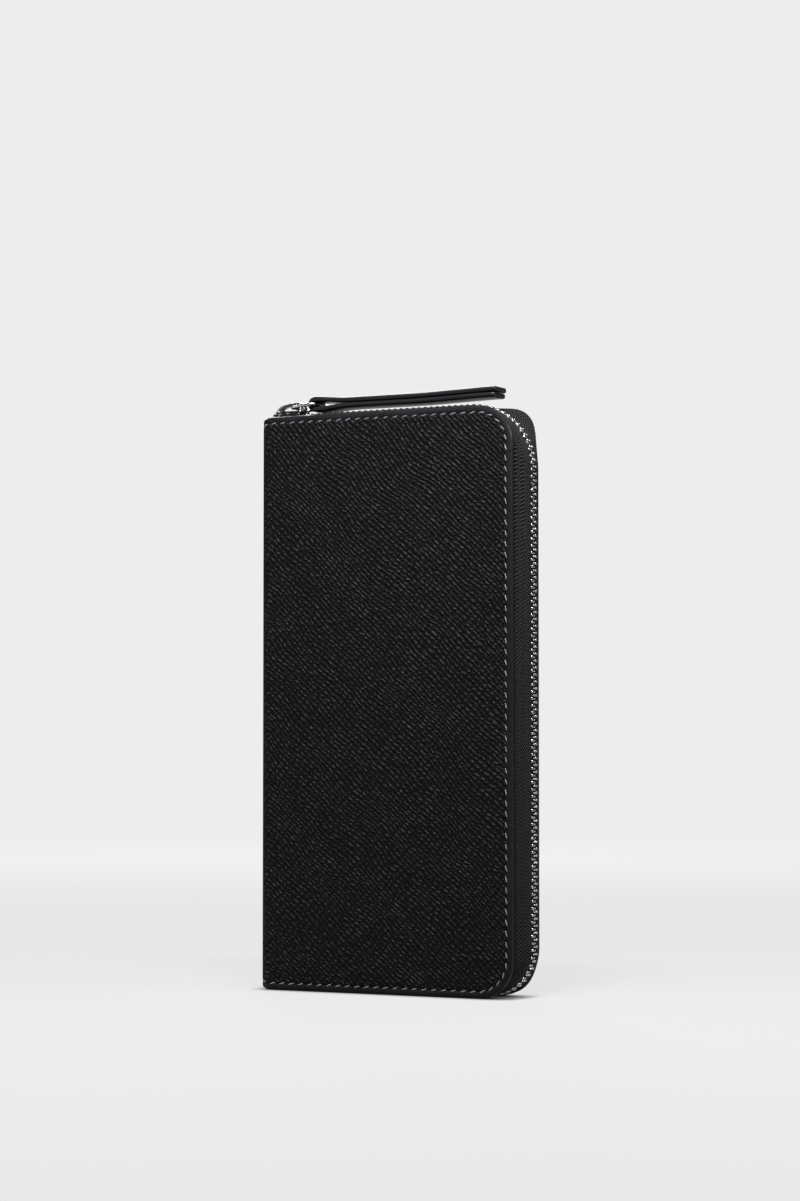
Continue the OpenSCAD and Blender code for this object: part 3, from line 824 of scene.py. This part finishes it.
def tape_profile():
    """Section of the tape: share of the way to the chain, offset outward, Y, and share of the slack."""
    edge, flat = -CHAIN_W / 2 + 0.9, -CHAIN_W / 2 - 2.1
    start = Y_RIM + 0.02
    outer, inner = [], []
    for t in np.linspace(0, 1, 9):
        share, y = 1 - (1 - t) ** 1.15, start + (flat - start) * t ** 1.15
        slack = math.sin(math.pi * t ** 0.55)
        outer.append((share, TAPE_T / 2 * min(1, 0.3 + t), y, slack))
        inner.append((share, -TAPE_T / 2, y + 0.25 * (1 - t) + 0.1, slack))
    for y in (flat + 0.8, flat + 1.5, edge):
        outer.append((1, TAPE_T / 2, y, 0))
        inner.append((1, -TAPE_T / 2, y, 0))
    return [(0, -SEWN_MARGIN, start, 0)] + outer + inner[::-1] + [(0, -SEWN_MARGIN, start + 0.45, 0)]


def zip_tape(side):
    """One half of the tape, from the cover's rim to the chain."""
    rows = []
    for root, chain, radius, angle in zip_stations():
        a = math.radians(angle)
        out = np.array([math.cos(a), math.sin(a)])
        pucker = PUCKER[side][0 if angle > 0 else 1] * math.sin(2 * a) ** 2
        row = []
        for share, offset, y, slack in tape_profile():
            at_root = np.asarray(root) + (ROOT_R + offset + pucker * slack) * out
            at_chain = np.asarray(chain) + (radius + offset + pucker * slack) * out
            x, z = at_root * (1 - share) + at_chain * share
            row.append((x, y, z))
        rows.append(row)
    rows = np.array(rows)
    middle_column = 10
    part = tube(rows, unrolled_uvs(lengths(rows[len(rows) // 2]), lengths(rows[:, middle_column])))
    build(
        f"{side}_tape", on_side([part], side), None, [TAPE], [f"{side}_zip_tape"], "zip_tape",
        blend=zip_blend(side),
    )


def zip_blend(side):
    """Where the zip would pass from the spine, as far as the slider, to its cover 10 mm further on; build
    only leaves such a piece in place, unattached to any body.
    """
    return (f"{side}_cover", "spine", (X_TEETH + 16, 0, 0), (X_TEETH + 6, 0, 0))


def tooth_part(width, thick):
    """A cast tooth: rounded legs with a dimple, clamped on the tape, then a neck and a head."""
    back = -width / 2
    # Place along the tooth, half width, share of the thickness, and depth of the dimple.
    stretch = [
        (back, 0.20, 0.50, 0), (back + 0.06, 0.34, 0.77, 0), (back + 0.2, 0.42, 0.92, 0),
        (back + 0.42, 0.46, 1, 0.4), (back + 0.85, 0.46, 1, 0.5), (back + 1.1, 0.42, 0.95, 0),
        (-0.74, 0.34, 0.74, 0), (-0.58, 0.30, 0.62, 0), (-0.35, 0.32, 0.82, 0), (0, 0.38, 0.92, 0.2),
        (0.28, 0.37, 0.86, 0.1), (0.47, 0.31, 0.70, 0), (0.58, 0.18, 0.38, 0),
    ]
    angles = (np.arange(16) + 0.5) * 2 * math.pi / 16
    c, s = np.cos(angles), np.sin(angles)
    rows, uvs = [], []
    for y, half_w, half_t, dimple in stretch:
        x = half_w * np.sign(c) * np.abs(c) ** 0.6
        z = half_t * thick / 2 * np.sign(s) * np.abs(s) ** 0.6 * (1 - dimple * np.exp(-((x / 0.34) ** 2)))
        rows.append(np.column_stack([x, np.full(16, y), z]))
        uvs.append(np.column_stack([angles, np.full(16, y)]))
    return tube(rows, uvs)


def tooth_at(part, origin, along, outward):
    points, faces, uvs, index = part
    along, outward = np.asarray(along, float), np.asarray(outward, float)
    across = np.array([0.0, 1.0, 0.0])
    moved = np.asarray(origin) + points[:, :1] * along + points[:, 1:2] * across + points[:, 2:] * outward
    flips = np.dot(np.cross(along, across), outward) < 0
    return moved, [face[::-1] for face in faces] if flips else faces, uvs, index


def spaced(length, shift):
    """Places of the teeth of one half along a stretch; the rear half is half a pitch on."""
    count = round(length / TOOTH_PITCH)
    return [(i + 0.25 + shift / 2) * length / count for i in range(count)]


def zip_teeth(side, shift):
    """The three rows of one half's teeth, along the top, the long side and the bottom."""
    tooth = tooth_part(CHAIN_W, CHAIN_T)

    def straight(start, length, along, out):
        places = [np.asarray(start) + run * np.asarray(along) for run in spaced(length, shift)]
        return [tooth_at(tooth, place, along, out) for place in places]

    def corner(centre, radius, start):
        made = []
        for run in spaced(radius * math.pi / 2, shift):
            a = start - run / radius
            out = np.array([math.cos(a), 0, math.sin(a)])
            place = np.array([centre[0], 0, centre[1]]) + radius * out
            made.append(tooth_at(tooth, place, (math.sin(a), 0, -math.cos(a)), out))
        return made

    top = straight((X_TEETH, 0, Z_CHAIN_TOP), ARC_TOP[0] - X_TEETH, (1, 0, 0), (0, 0, 1))
    top += corner(ARC_TOP, R_ARC_TOP, math.pi / 2)
    bottom = corner(ARC_BOTTOM, R_ARC_BOTTOM, 0)
    bottom += straight((ARC_BOTTOM[0], 0, Z_CHAIN_BOTTOM), ARC_BOTTOM[0] - X_TEETH, (-1, 0, 0), (0, 0, -1))
    down = straight((X_CHAIN, 0, ARC_TOP[1]), ARC_TOP[1] - ARC_BOTTOM[1], (0, 0, -1), (1, 0, 0))
    blend = zip_blend(side)
    for stretch, parts in (("top", top), ("bottom", bottom), ("side", down)):
        build(
            f"{side}_teeth_{stretch}_row", on_side(parts, side), f"{side}_cover", [NICKEL],
            [f"{side}_teeth_{stretch}"], "zip_teeth", None if stretch == "side" else blend,
        )


# ---------------------------------------------------------------- slider, ring and strap
def turned(part, matrix, origin):
    points, faces, uvs, index = part
    return points @ np.asarray(matrix, float).T + np.asarray(origin, float), faces, uvs, index


def slider_loop(length, wide, tail, inset):
    """Outline of a slider plate: wide at the mouth, waisted, narrower at the tail."""
    half = [
        (0.0, 0.0), (0.0, wide / 2 - 1.2), (0.25, wide / 2 - 0.45), (1.0, wide / 2), (3.6, wide / 2),
        (4.6, wide / 2 - 0.25), (5.8, tail / 2 + 0.15), (6.8, tail / 2), (length - 1.0, tail / 2),
        (length - 0.3, tail / 2 - 0.3), (length, tail / 2 - 1.0), (length, 0.0),
    ]
    centre = length / 2
    shrink_x, shrink_y = 1 - inset / centre, 1 - inset / (tail / 2)
    points = [(centre + (x - centre) * shrink_x, y * shrink_y) for x, y in half]
    return np.array(points + [(x, -y) for x, y in points[-2:0:-1]])


def slider_plate(length, wide, tail, z0, z1):
    """A plate with rounded edges between two levels."""
    loops, levels = [], []
    for inset, z in rounded_levels(z0, z1, 0.25):
        loops.append(slider_loop(length, wide, tail, inset))
        levels.append(np.column_stack([loops[-1], np.full(len(loops[-1]), z)]))
    return tube(levels, loops)


def slider_rims(length, wide, tail, z0, z1):
    """The plates' bent rims, on both sides, which leave a slot for the tape."""
    loop = slider_loop(length, wide, tail, 0.42)
    line = loop[2:len(loop) // 2 - 1]
    up = np.tile([0.0, 0.0, 1.0], (len(line), 1))
    section = rounded_section(0.75, z1 - z0 + 0.1, 0.2)
    parts = []
    for sign in (1, -1):
        path = np.column_stack([line[:, 0], sign * line[:, 1], np.full(len(line), (z0 + z1) / 2)])
        parts.append(sweep(path, np.cross(up, directions(path)), up, section))
    return parts


def arch_sweep(left, peak, right, base, rise, width, thick):
    """The crown: an arch of two quarter ellipses, thick at its left foot and slimmer at its right."""
    angles = np.linspace(math.pi, 0, 29)
    reach = np.where(angles > math.pi / 2, peak - left, right - peak)
    x, z = peak + reach * np.cos(angles), base + rise * np.sin(angles)
    path = np.column_stack([x, np.zeros(len(x)), z])
    across = np.tile([0.0, 1.0, 0.0], (len(path), 1))
    fat = 1 + 0.45 * smoothstep((angles - math.pi * 0.6) / (math.pi * 0.4))
    return sweep(
        path, across, np.cross(directions(path), across), rounded_section(width, thick, thick * 0.42),
        factors=np.column_stack([np.ones(len(fat)), fat]))


def slider_parts(length, wide, tail, plate_t, opening, slot):
    """Two plates with their bent rims and the wedge that parts the teeth, at the mouth."""
    half = opening / 2
    parts = [
        slider_plate(length, wide, tail, half, half + plate_t),
        slider_plate(length, wide, tail, -half - plate_t, -half),
    ]
    parts += slider_rims(length, wide, tail, slot / 2, half)
    parts += slider_rims(length, wide, tail, -half, -slot / 2)
    wedge = np.array([(0.1, 0.0), (0.4, 0.75), (1.6, 0.85), (3.0, 0.0), (1.6, -0.85), (0.4, -0.75)])
    levels = [np.column_stack([wedge, np.full(6, z)]) for z in (-half, half)]
    parts.append(grid(levels, [wedge, wedge], close_columns=True))
    return parts


def main_slider():
    plate_t, play = 0.8, 0.15
    start = (X_SPINE + 2.6, 0, Z_CHAIN_TOP)
    body = slider_parts(length=10, wide=8.4, tail=6.8, plate_t=plate_t, opening=CHAIN_T + 2 * play, slot=0.9)
    parts = [turned(part, np.eye(3), start) for part in body]
    base, width, thick = Z_CHAIN_TOP + CHAIN_T / 2 + plate_t, 2.3, 1.15
    rise = slider_high[2] - 0.55 - base
    parts.append(arch_sweep(slider_low[0] + 0.85, X_SPINE + 9.5, X_SPINE + 12.3, base, rise, width, thick))
    build("slider_with_crown", parts, "zip_slider", [GUNMETAL], ["zip_slider"], "slider_metal")


# The ring's wire, and the loop of the strap round its far bar.
RING_WIRE = 1.2
STRAP_T = 1.65
RING_NEAR = np.array([ring_low[0] + RING_WIRE / 2, 0, ring_low[2] + RING_WIRE / 2])
RING_FAR = np.array([ring_high[0] - RING_WIRE / 2, 0, ring_high[2] - RING_WIRE / 2])


def pull_ring():
    """Wire bent into a rounded rectangle, soldered shut."""
    run = RING_FAR - RING_NEAR
    length = np.linalg.norm(run)
    x_dir, y_dir = run / length, np.array([0.0, 1.0, 0.0])
    half_w = ring_high[1] - RING_WIRE / 2
    loop, out = outline_loop(0, length, -half_w, half_w, 1.3, 8)
    across = np.array([x_dir, y_dir])
    up = np.tile(np.cross(x_dir, y_dir), (len(loop), 1))
    part = sweep(RING_NEAR + loop @ across, out @ across, up, circle_section(RING_WIRE / 2), close_path=True)
    build("wire_ring", [part], "pull_ring", [SILVER], ["pull_ring"], "ring_metal")


def strap_path():
    """Middle line of the folded strip: along the lower layer, round the ring, and back along the upper."""
    radius = RING_WIRE / 2 + 0.3 + STRAP_T / 2
    close = STRAP_T / 2 + 0.06
    centre = RING_FAR
    length = strap_high[0] - 0.6 - centre[0]
    xs = np.linspace(0, 1, 30) ** 1.25 * (length - 1.6)
    xs = np.concatenate([xs, length - np.array([1.3, 1.0, 0.75, 0.5, 0.3, 0.15, 0.05, 0.0])])
    splay = 0.05 * smoothstep((xs - 52) / 20)
    offset = close + (radius - close) * (1 - smoothstep(xs / 13.0)) + splay
    rise = 0.8 * smoothstep((xs - 35) / 38)
    upper = np.column_stack([centre[0] + xs, np.zeros(len(xs)), centre[2] + offset + rise])
    lower = np.column_stack([centre[0] + 0.994 * xs, np.zeros(len(xs)), centre[2] - offset + rise])
    lower[:, 2] = np.maximum(lower[:, 2], strap_low[2] + STRAP_T / 2)
    angles = np.linspace(math.pi * 1.5, math.pi / 2, 19)[1:-1]
    arc = np.column_stack([
        centre[0] + radius * np.cos(angles), np.zeros(len(angles)), centre[2] + radius * np.sin(angles)])
    return np.vstack([lower[::-1], arc, upper])


def pull_strap():
    """The folded strip of leather, with its edges and its two ends painted."""
    path = strap_path()
    across = np.tile([0.0, 1.0, 0.0], (len(path), 1))
    run, half_w = lengths(path), strap_high[1]
    ends = np.minimum(run, run[-1] - run)
    tip = np.sqrt(1 - (1 - np.clip(ends / 0.35, 0, 1)) ** 2)
    narrow = 1 - 0.8 / half_w * (1 - np.sqrt(1 - (1 - np.clip(ends / 1.3, 0, 1)) ** 2))
    points, faces, uvs, _ = sweep(
        path, across, np.cross(directions(path), across), rounded_section(2 * half_w, STRAP_T, 0.62, 5),
        factors=np.column_stack([narrow, np.maximum(tip, 0.75)]))
    on_edge = [bool(len(f) > 4 or np.min(np.abs(points[f][:, 1])) > half_w - 0.75) for f in faces]
    order = sorted(range(len(faces)), key=lambda i: on_edge[i])
    on_leather = {i for face, painted in zip(faces, on_edge) if not painted for i in face}
    uvs = [uv if i in on_leather else (0, 0) for i, uv in enumerate(uvs)]
    part = (points, [faces[i] for i in order], uvs, [int(on_edge[i]) for i in order])
    build("folded_strap", [part], "pull_strap", [STRAP, PAINT], ["pull_strap"], "strap_leather")


def strap_seam():
    """A short row of stitches that holds the fold."""
    low, high = box_mm("pull_strap_stitching")
    x = (low[0] + high[0]) / 2
    places = [((x, y, low[2] - 0.1), (0, 1, 0), (0, 0, 1)) for y in (-2.6, 0.0, 2.6)]
    stitches = seam(places, holes=False)
    build("strap_stitches", stitches, "pull_strap", [THREAD], ["pull_strap_stitching"], "thread")


# ---------------------------------------------------------------- card slots and gussets
def card_panel(x0, x1, y0, y1, z0, z1):
    """One slot's panel: a turned mouth with a pressed crease line beside it."""
    profile = [
        (x0, y0), (x1 - 0.12, y0), (x1, y0 + 0.12), (x1, y1 - 0.2), (x1 - 0.06, y1 - 0.07), (x1 - 0.2, y1),
        (x1 - 1.5, y1), (x1 - 1.65, y1 - 0.12), (x1 - 1.85, y1 - 0.12), (x1 - 2.0, y1), (x0, y1),
    ]
    tucks = ((0.0, 0.2), (0.05, 0.06), (0.2, 0.0))
    rows, uvs = [], []
    for z, tuck in [(z0 + dz, tuck) for dz, tuck in tucks] + [(z1 - dz, tuck) for dz, tuck in tucks[::-1]]:
        rows.append([(x - tuck * (x > x0 + 1), y, z) for x, y in profile])
        uvs.append([(x, z) for x, _ in profile])
    return tube(rows, uvs)


def card_slots():
    """The base panel and the four slots of each cover, each slot in two rows with a gap between them."""
    def dress(parts, piece, cad_node):
        for side in SIDES:
            build(f"{side}_{piece}", on_side(parts, side), f"{side}_cover", [PANEL],
                  [f"{side}_{cad_node}"], "smooth_leather")

    low, high = box_mm("front_card_base")
    dress([plate(low[0], high[0], low[2], high[2], low[1], high[1], 5.5, 0.2)], "card_panel", "card_base")
    half_gap = 1.0
    for number in range(1, 5):
        low, high = box_mm(f"front_card_slot_{number}")
        middle = (low[2] + high[2]) / 2
        rows = [(low[2], middle - half_gap), (middle + half_gap, high[2])]
        parts = [card_panel(low[0], high[0], low[1], high[1], z0, z1) for z0, z1 in rows]
        dress(parts, f"slots_{number}", f"card_slot_{number}")


def gusset_part(low, high):
    """A leather gusset as one sheet: seam strip, down to the fold, and up to the pocket's seam strip."""
    thick, strip = 0.4, 2.0
    seam_z = high[2] - strip
    y_cover, y_pocket = low[1] + thick / 2, high[1] - thick / 2
    rows, uvs = [], []
    for t in np.linspace(0, 1, 24):
        depth = max((seam_z - low[2]) * t, 0.3)
        half = [(0.0, seam_z + strip), (0.0, seam_z + strip / 2), (0.0, seam_z)]
        half += [(smoothstep(k) * 0.62, seam_z - depth * k) for k in np.linspace(0.15, 1.0, 9)]
        line = [(y_cover + dy, z) for dy, z in half]
        line.append(((y_cover + y_pocket) / 2, seam_z - depth - 0.18))
        line += [(y_pocket - dy, z) for dy, z in half[::-1]]
        shell, run = thickened(np.array(line), thick)
        x = np.full(len(shell), low[0] + (high[0] - low[0]) * t)
        rows.append(np.column_stack([x, shell]))
        uvs.append(np.column_stack([x, run]))
    return tube(rows, uvs)


def gussets():
    """Four folded gussets, which stretch between the covers and the coin pocket when the wallet opens."""
    low, high = box_mm("front_gusset_top")
    top = gusset_part(low, high)
    points, faces, uvs, index = top
    bottom = (points * [1, 1, -1] + [0, 0, HEIGHT], [face[::-1] for face in faces], uvs, index)
    for side, sign in SIDES.items():
        for end, part in (("top", top), ("bottom", bottom)):
            build(
                f"{side}_gusset_fold_{end}", on_side([part], side), None, [PANEL],
                [f"{side}_gusset_{end}"], "smooth_leather",
                (f"{side}_cover", "spine", (0, -sign * low[1], 0), (0, -sign * high[1], 0)),
            )


# ---------------------------------------------------------------- coin pocket
def coin_pocket():
    """The two walls, and the binding along the spine and both ends."""
    (x0, y0, z0), (x1, y1, z1) = pocket_low, pocket_high
    wall = plate(x0, x1, z0, z1, y0, y1, 0.8, 0.25)
    for side in SIDES:
        build(f"coin_wall_{side}", on_side([wall], side), "spine", [PANEL],
              [f"coin_pocket_{side}"], "smooth_leather")
    strip = 4
    after = x0 + strip + 0.05
    bars = [
        plate(left, right, bottom, top, y1, -y1, 0.6, 0.3)
        for left, right, bottom, top in (
            (x0, x0 + strip, z0, z1), (after, x1, z0, z0 + strip), (after, x1, z1 - strip, z1))
    ]
    build("coin_binding", bars, "spine", [PANEL], ["coin_pocket_binding"], "smooth_leather")


def coin_zip():
    """The coin pocket's zip: two tapes from the walls to the chain, their teeth, and the slider."""
    x_chain = (coin_low[0] + coin_high[0]) / 2
    thick, width = coin_high[0] - coin_low[0], -2 * coin_low[1]
    tape_bottom, tape_top = box_mm("coin_zip_tape_front")
    x_sewn, y_wall, tape_t = tape_bottom[0], pocket_low[1], 0.3
    line = np.array([
        (x_sewn, y_wall - tape_t / 2), (x_sewn + 1.0, y_wall - tape_t / 2), (x_sewn + 1.6, y_wall - 0.45),
        (x_sewn + 2.2, -3.2), (x_sewn + 2.9, -3.85), (x_sewn + 3.6, -4.0), (x_chain - 0.4, -4.0),
        (x_chain - 0.1, -3.85), (x_chain, -3.5), (x_chain, -2.4), (x_chain, -width / 2 + 0.8),
    ])
    shell, run = thickened(line, tape_t)
    rows, uvs = [], []
    for z in np.linspace(tape_bottom[2], tape_top[2], 5):
        level = np.full(len(shell), z)
        rows.append(np.column_stack([shell, level]))
        uvs.append(np.column_stack([run, level]))
    points, faces, flat, index = tube(rows, uvs)
    tape = (points, [face[::-1] for face in faces], flat, index)
    tooth = tooth_part(width, thick)
    end_margin, spare = 8, 22
    count = int((pocket_high[2] - pocket_low[2] - spare) / TOOTH_PITCH)
    for side, shift in (("front", 0), ("rear", 1)):
        build(f"coin_tape_{side}", on_side([tape], side), "spine", [TAPE],
              [f"coin_zip_tape_{side}"], "zip_tape")
        levels = [pocket_low[2] + end_margin + (i + 0.25 + shift / 2) * TOOTH_PITCH for i in range(count)]
        teeth = [tooth_at(tooth, (x_chain, 0, z), (0, 0, 1), (1, 0, 0)) for z in levels]
        build(f"coin_teeth_row_{side}", on_side(teeth, side), "spine", [NICKEL],
              [f"coin_teeth_{side}"], "zip_teeth")
    coin_slider(x_chain, thick)


def coin_slider(x_chain, thick):
    """The coin slider with its crown, and its pull: a wire bow and a flat tab."""
    low, high = box_mm("coin_slider")
    length, plate_t, play = 9, 0.6, 0.15
    lying = np.array([[0, 0, 1], [0, 1, 0], [-1, 0, 0]])
    standing = np.array([[0, 0, 1], [0, -1, 0], [1, 0, 0]])
    upright = np.array([[0, 1, 0], [-1, 0, 0], [0, 0, 1]])
    body = slider_parts(length, wide=7, tail=5.6, plate_t=plate_t, opening=thick + 2 * play, slot=1.1)
    parts = [turned(part, lying, (x_chain, 0, high[2])) for part in body]
    crown = arch_sweep(-3.0, 0.0, 3.0, 0.0, 2.45, 1.5, 0.9)
    parts.append(turned(crown, standing, (x_chain + thick / 2 + play + plate_t, 0, low[2] + length / 2)))
    build("coin_slider_body", parts, "coin_slider", [GUNMETAL], ["coin_slider"], "slider_metal")
    low, high = box_mm("coin_pull_tab")
    x_mid, wire = (low[0] + high[0]) / 2, 0.4
    z_pin = high[2] - wire
    loop, outward = outline_loop(-high[1] + wire, high[1] - wire, z_pin - 4.6, z_pin, 0.7)
    path = np.column_stack([np.full(len(loop), x_mid), loop])
    out = np.column_stack([np.zeros(len(loop)), outward])
    front = np.tile([1.0, 0.0, 0.0], (len(loop), 1))
    bow = sweep(path, out, front, circle_section(wire, 10), close_path=True)
    tab = plate(-high[1], high[1], low[2], z_pin - 4.2, -wire, wire, 1.4, 0.25)
    parts = [bow, turned(tab, upright, (x_mid, 0, 0))]
    build("coin_pull_bow", parts, "coin_pull", [SILVER], ["coin_pull_tab"], "ring_metal")


# ---------------------------------------------------------------- camera, light and stage
def aimed(name, data, place, look):
    """A camera or a light at a place, looking along a direction, in metres."""
    made = bpy.data.objects.new(name, data)
    made.location = place
    made.rotation_mode = "QUATERNION"
    made.rotation_quaternion = look.to_track_quat("-Z", "Y")
    bpy.context.scene.collection.objects.link(made)
    return made


def camera():
    """The photograph's view: 28 degrees round from the front, just under a metre away, tilted up a little."""
    tilt = math.radians(2.68)
    data = bpy.data.cameras.new("camera")
    data.sensor_width = 36
    # The focal length is 2.5 times the frame's longer side.
    data.lens = 36 * 3003 / 1201
    data.clip_start, data.clip_end = 0.05, 30
    look = Vector((-math.sin(AZIMUTH) * math.cos(tilt), math.cos(AZIMUTH) * math.cos(tilt), math.sin(tilt)))
    bpy.context.scene.camera = aimed("camera", data, (0.4641, -0.8831, 0.0832), look)


def area_light(name, place, size, power, colour=(1, 1, 1)):
    """A rectangular light that is aimed at the wallet's middle."""
    data = bpy.data.lights.new(name, "AREA")
    data.shape = "RECTANGLE"
    data.size, data.size_y = size
    data.energy = power
    data.color = colour
    aimed(name, data, place, Vector((0, 0, 0.11)) - Vector(place))


def stage():
    """A pale floor that curves up into a pale wall behind the wallet, facing the camera, in metres."""
    floor_half, wall_half, front, back, radius, top = 1.6, 1.0, -0.5, 1.5, 0.9, 3.2
    line = [(front, 0.0), (-0.2, 0.0), (0.5, 0.0), (back, 0.0)]
    for step in range(1, 17):
        a = math.pi / 2 * step / 16
        line.append((back + radius * math.sin(a), radius * (1 - math.cos(a))))
    line.append((back + radius, top))
    rows = []
    for y, z in line:
        half = floor_half if z == 0 else wall_half
        rows.append([(x, y, z) for x in np.linspace(-half, half, 9)])
    points, faces, _, _ = grid(rows, [[(x, y) for x, y, z in row] for row in rows])
    mesh = bpy.data.meshes.new("studio_floor")
    mesh.from_pydata(points.tolist(), [], faces)
    mesh.polygons.foreach_set("use_smooth", [True] * len(faces))
    floor = bpy.data.objects.new("studio_floor", mesh)
    floor.rotation_euler = (0, 0, AZIMUTH)
    material, tree, shader = new_material("studio_paper", Specular_IOR_Level=0.0, Roughness=1.0)
    shader.inputs["Base Color"].default_value = (0.045, 0.045, 0.045, 1)
    shader.inputs["Emission Color"].default_value = (1, 1, 1, 1)
    # It glows more from near the wallet outwards, and its glow is dimmed by occlusion where it meets the
    # wallet: a painted contact shadow.
    away = node(tree, "VectorMath", 1, {"operation": "LENGTH"}, Vector=node(tree, "TexCoord", 3))
    near, far, glow_near, glow_far = 0.25, 1.6, 0.695, 0.825
    glow = tree.nodes.new("ShaderNodeMapRange")
    glow.interpolation_type = "SMOOTHSTEP"
    for socket, value in zip(glow.inputs[1:5], (near, far, glow_near, glow_far)):
        socket.default_value = value
    tree.links.new(away, glow.inputs[0])
    # Painted contact shadow: the floor's glow is multiplied down where nearby geometry occludes it.
    shade = tree.nodes.new("ShaderNodeAmbientOcclusion")
    shade.inputs["Distance"].default_value = 0.006
    painted_shadow_factor = math_node(tree, "POWER", shade.outputs["AO"], 1.4)
    strength = math_node(tree, "MULTIPLY", glow.outputs[0], painted_shadow_factor)
    tree.links.new(strength, shader.inputs["Emission Strength"])
    mesh.materials.append(material)
    bpy.context.scene.collection.objects.link(floor)


def lighting():
    """A weak even world, a raking light over the front cover's grain, and softer ones all round."""
    world = bpy.data.worlds.new("studio")
    world.use_nodes = True
    background = world.node_tree.nodes["Background"]
    background.inputs["Color"].default_value = (1, 1, 1, 1)
    background.inputs["Strength"].default_value = 0.15
    bpy.context.scene.world = world
    cool = (0.95, 0.96, 1.0)
    area_light("key", (0.05, -0.62, 0.95), (0.40, 0.28), 12, cool)
    area_light("rake", (0.10, -0.16, 0.46), (0.12, 0.05), 3.9, cool)
    area_light("left", (-0.8, -0.7, 0.5), (0.25, 0.5), 3)
    area_light("rear", (-0.6, 1.0, 0.75), (0.4, 0.4), 14)
    area_light("edge", (0.85, 0.06, 0.62), (0.25, 0.45), 9)


def view_look():
    bpy.context.scene.view_settings.view_transform = "Standard"


# ---------------------------------------------------------------- CAD nodes that stay
def dress_nodes():
    """Materials for the CAD nodes whose shape is right."""
    dress = {
        "spine_lining": CLOTH, "front_lining": CLOTH, "rear_lining": CLOTH,
        "front_board": BOARD, "rear_board": BOARD,
        "zip_top_stops": GUNMETAL, "zip_bottom_stop": GUNMETAL, "coin_zip_stops": NICKEL,
    }
    for name, material in dress.items():
        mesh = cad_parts[name].data
        mesh.materials.clear()
        mesh.materials.append(material)


camera()
view_look()
lighting()
stage()
for each_side in SIDES:
    cover_leather(each_side)
    zip_tape(each_side)
    zip_teeth(each_side, 0 if each_side == "front" else 1)
spine_skin()
stitching()
main_slider()
pull_ring()
pull_strap()
strap_seam()
card_slots()
gussets()
coin_pocket()
coin_zip()
dress_nodes()
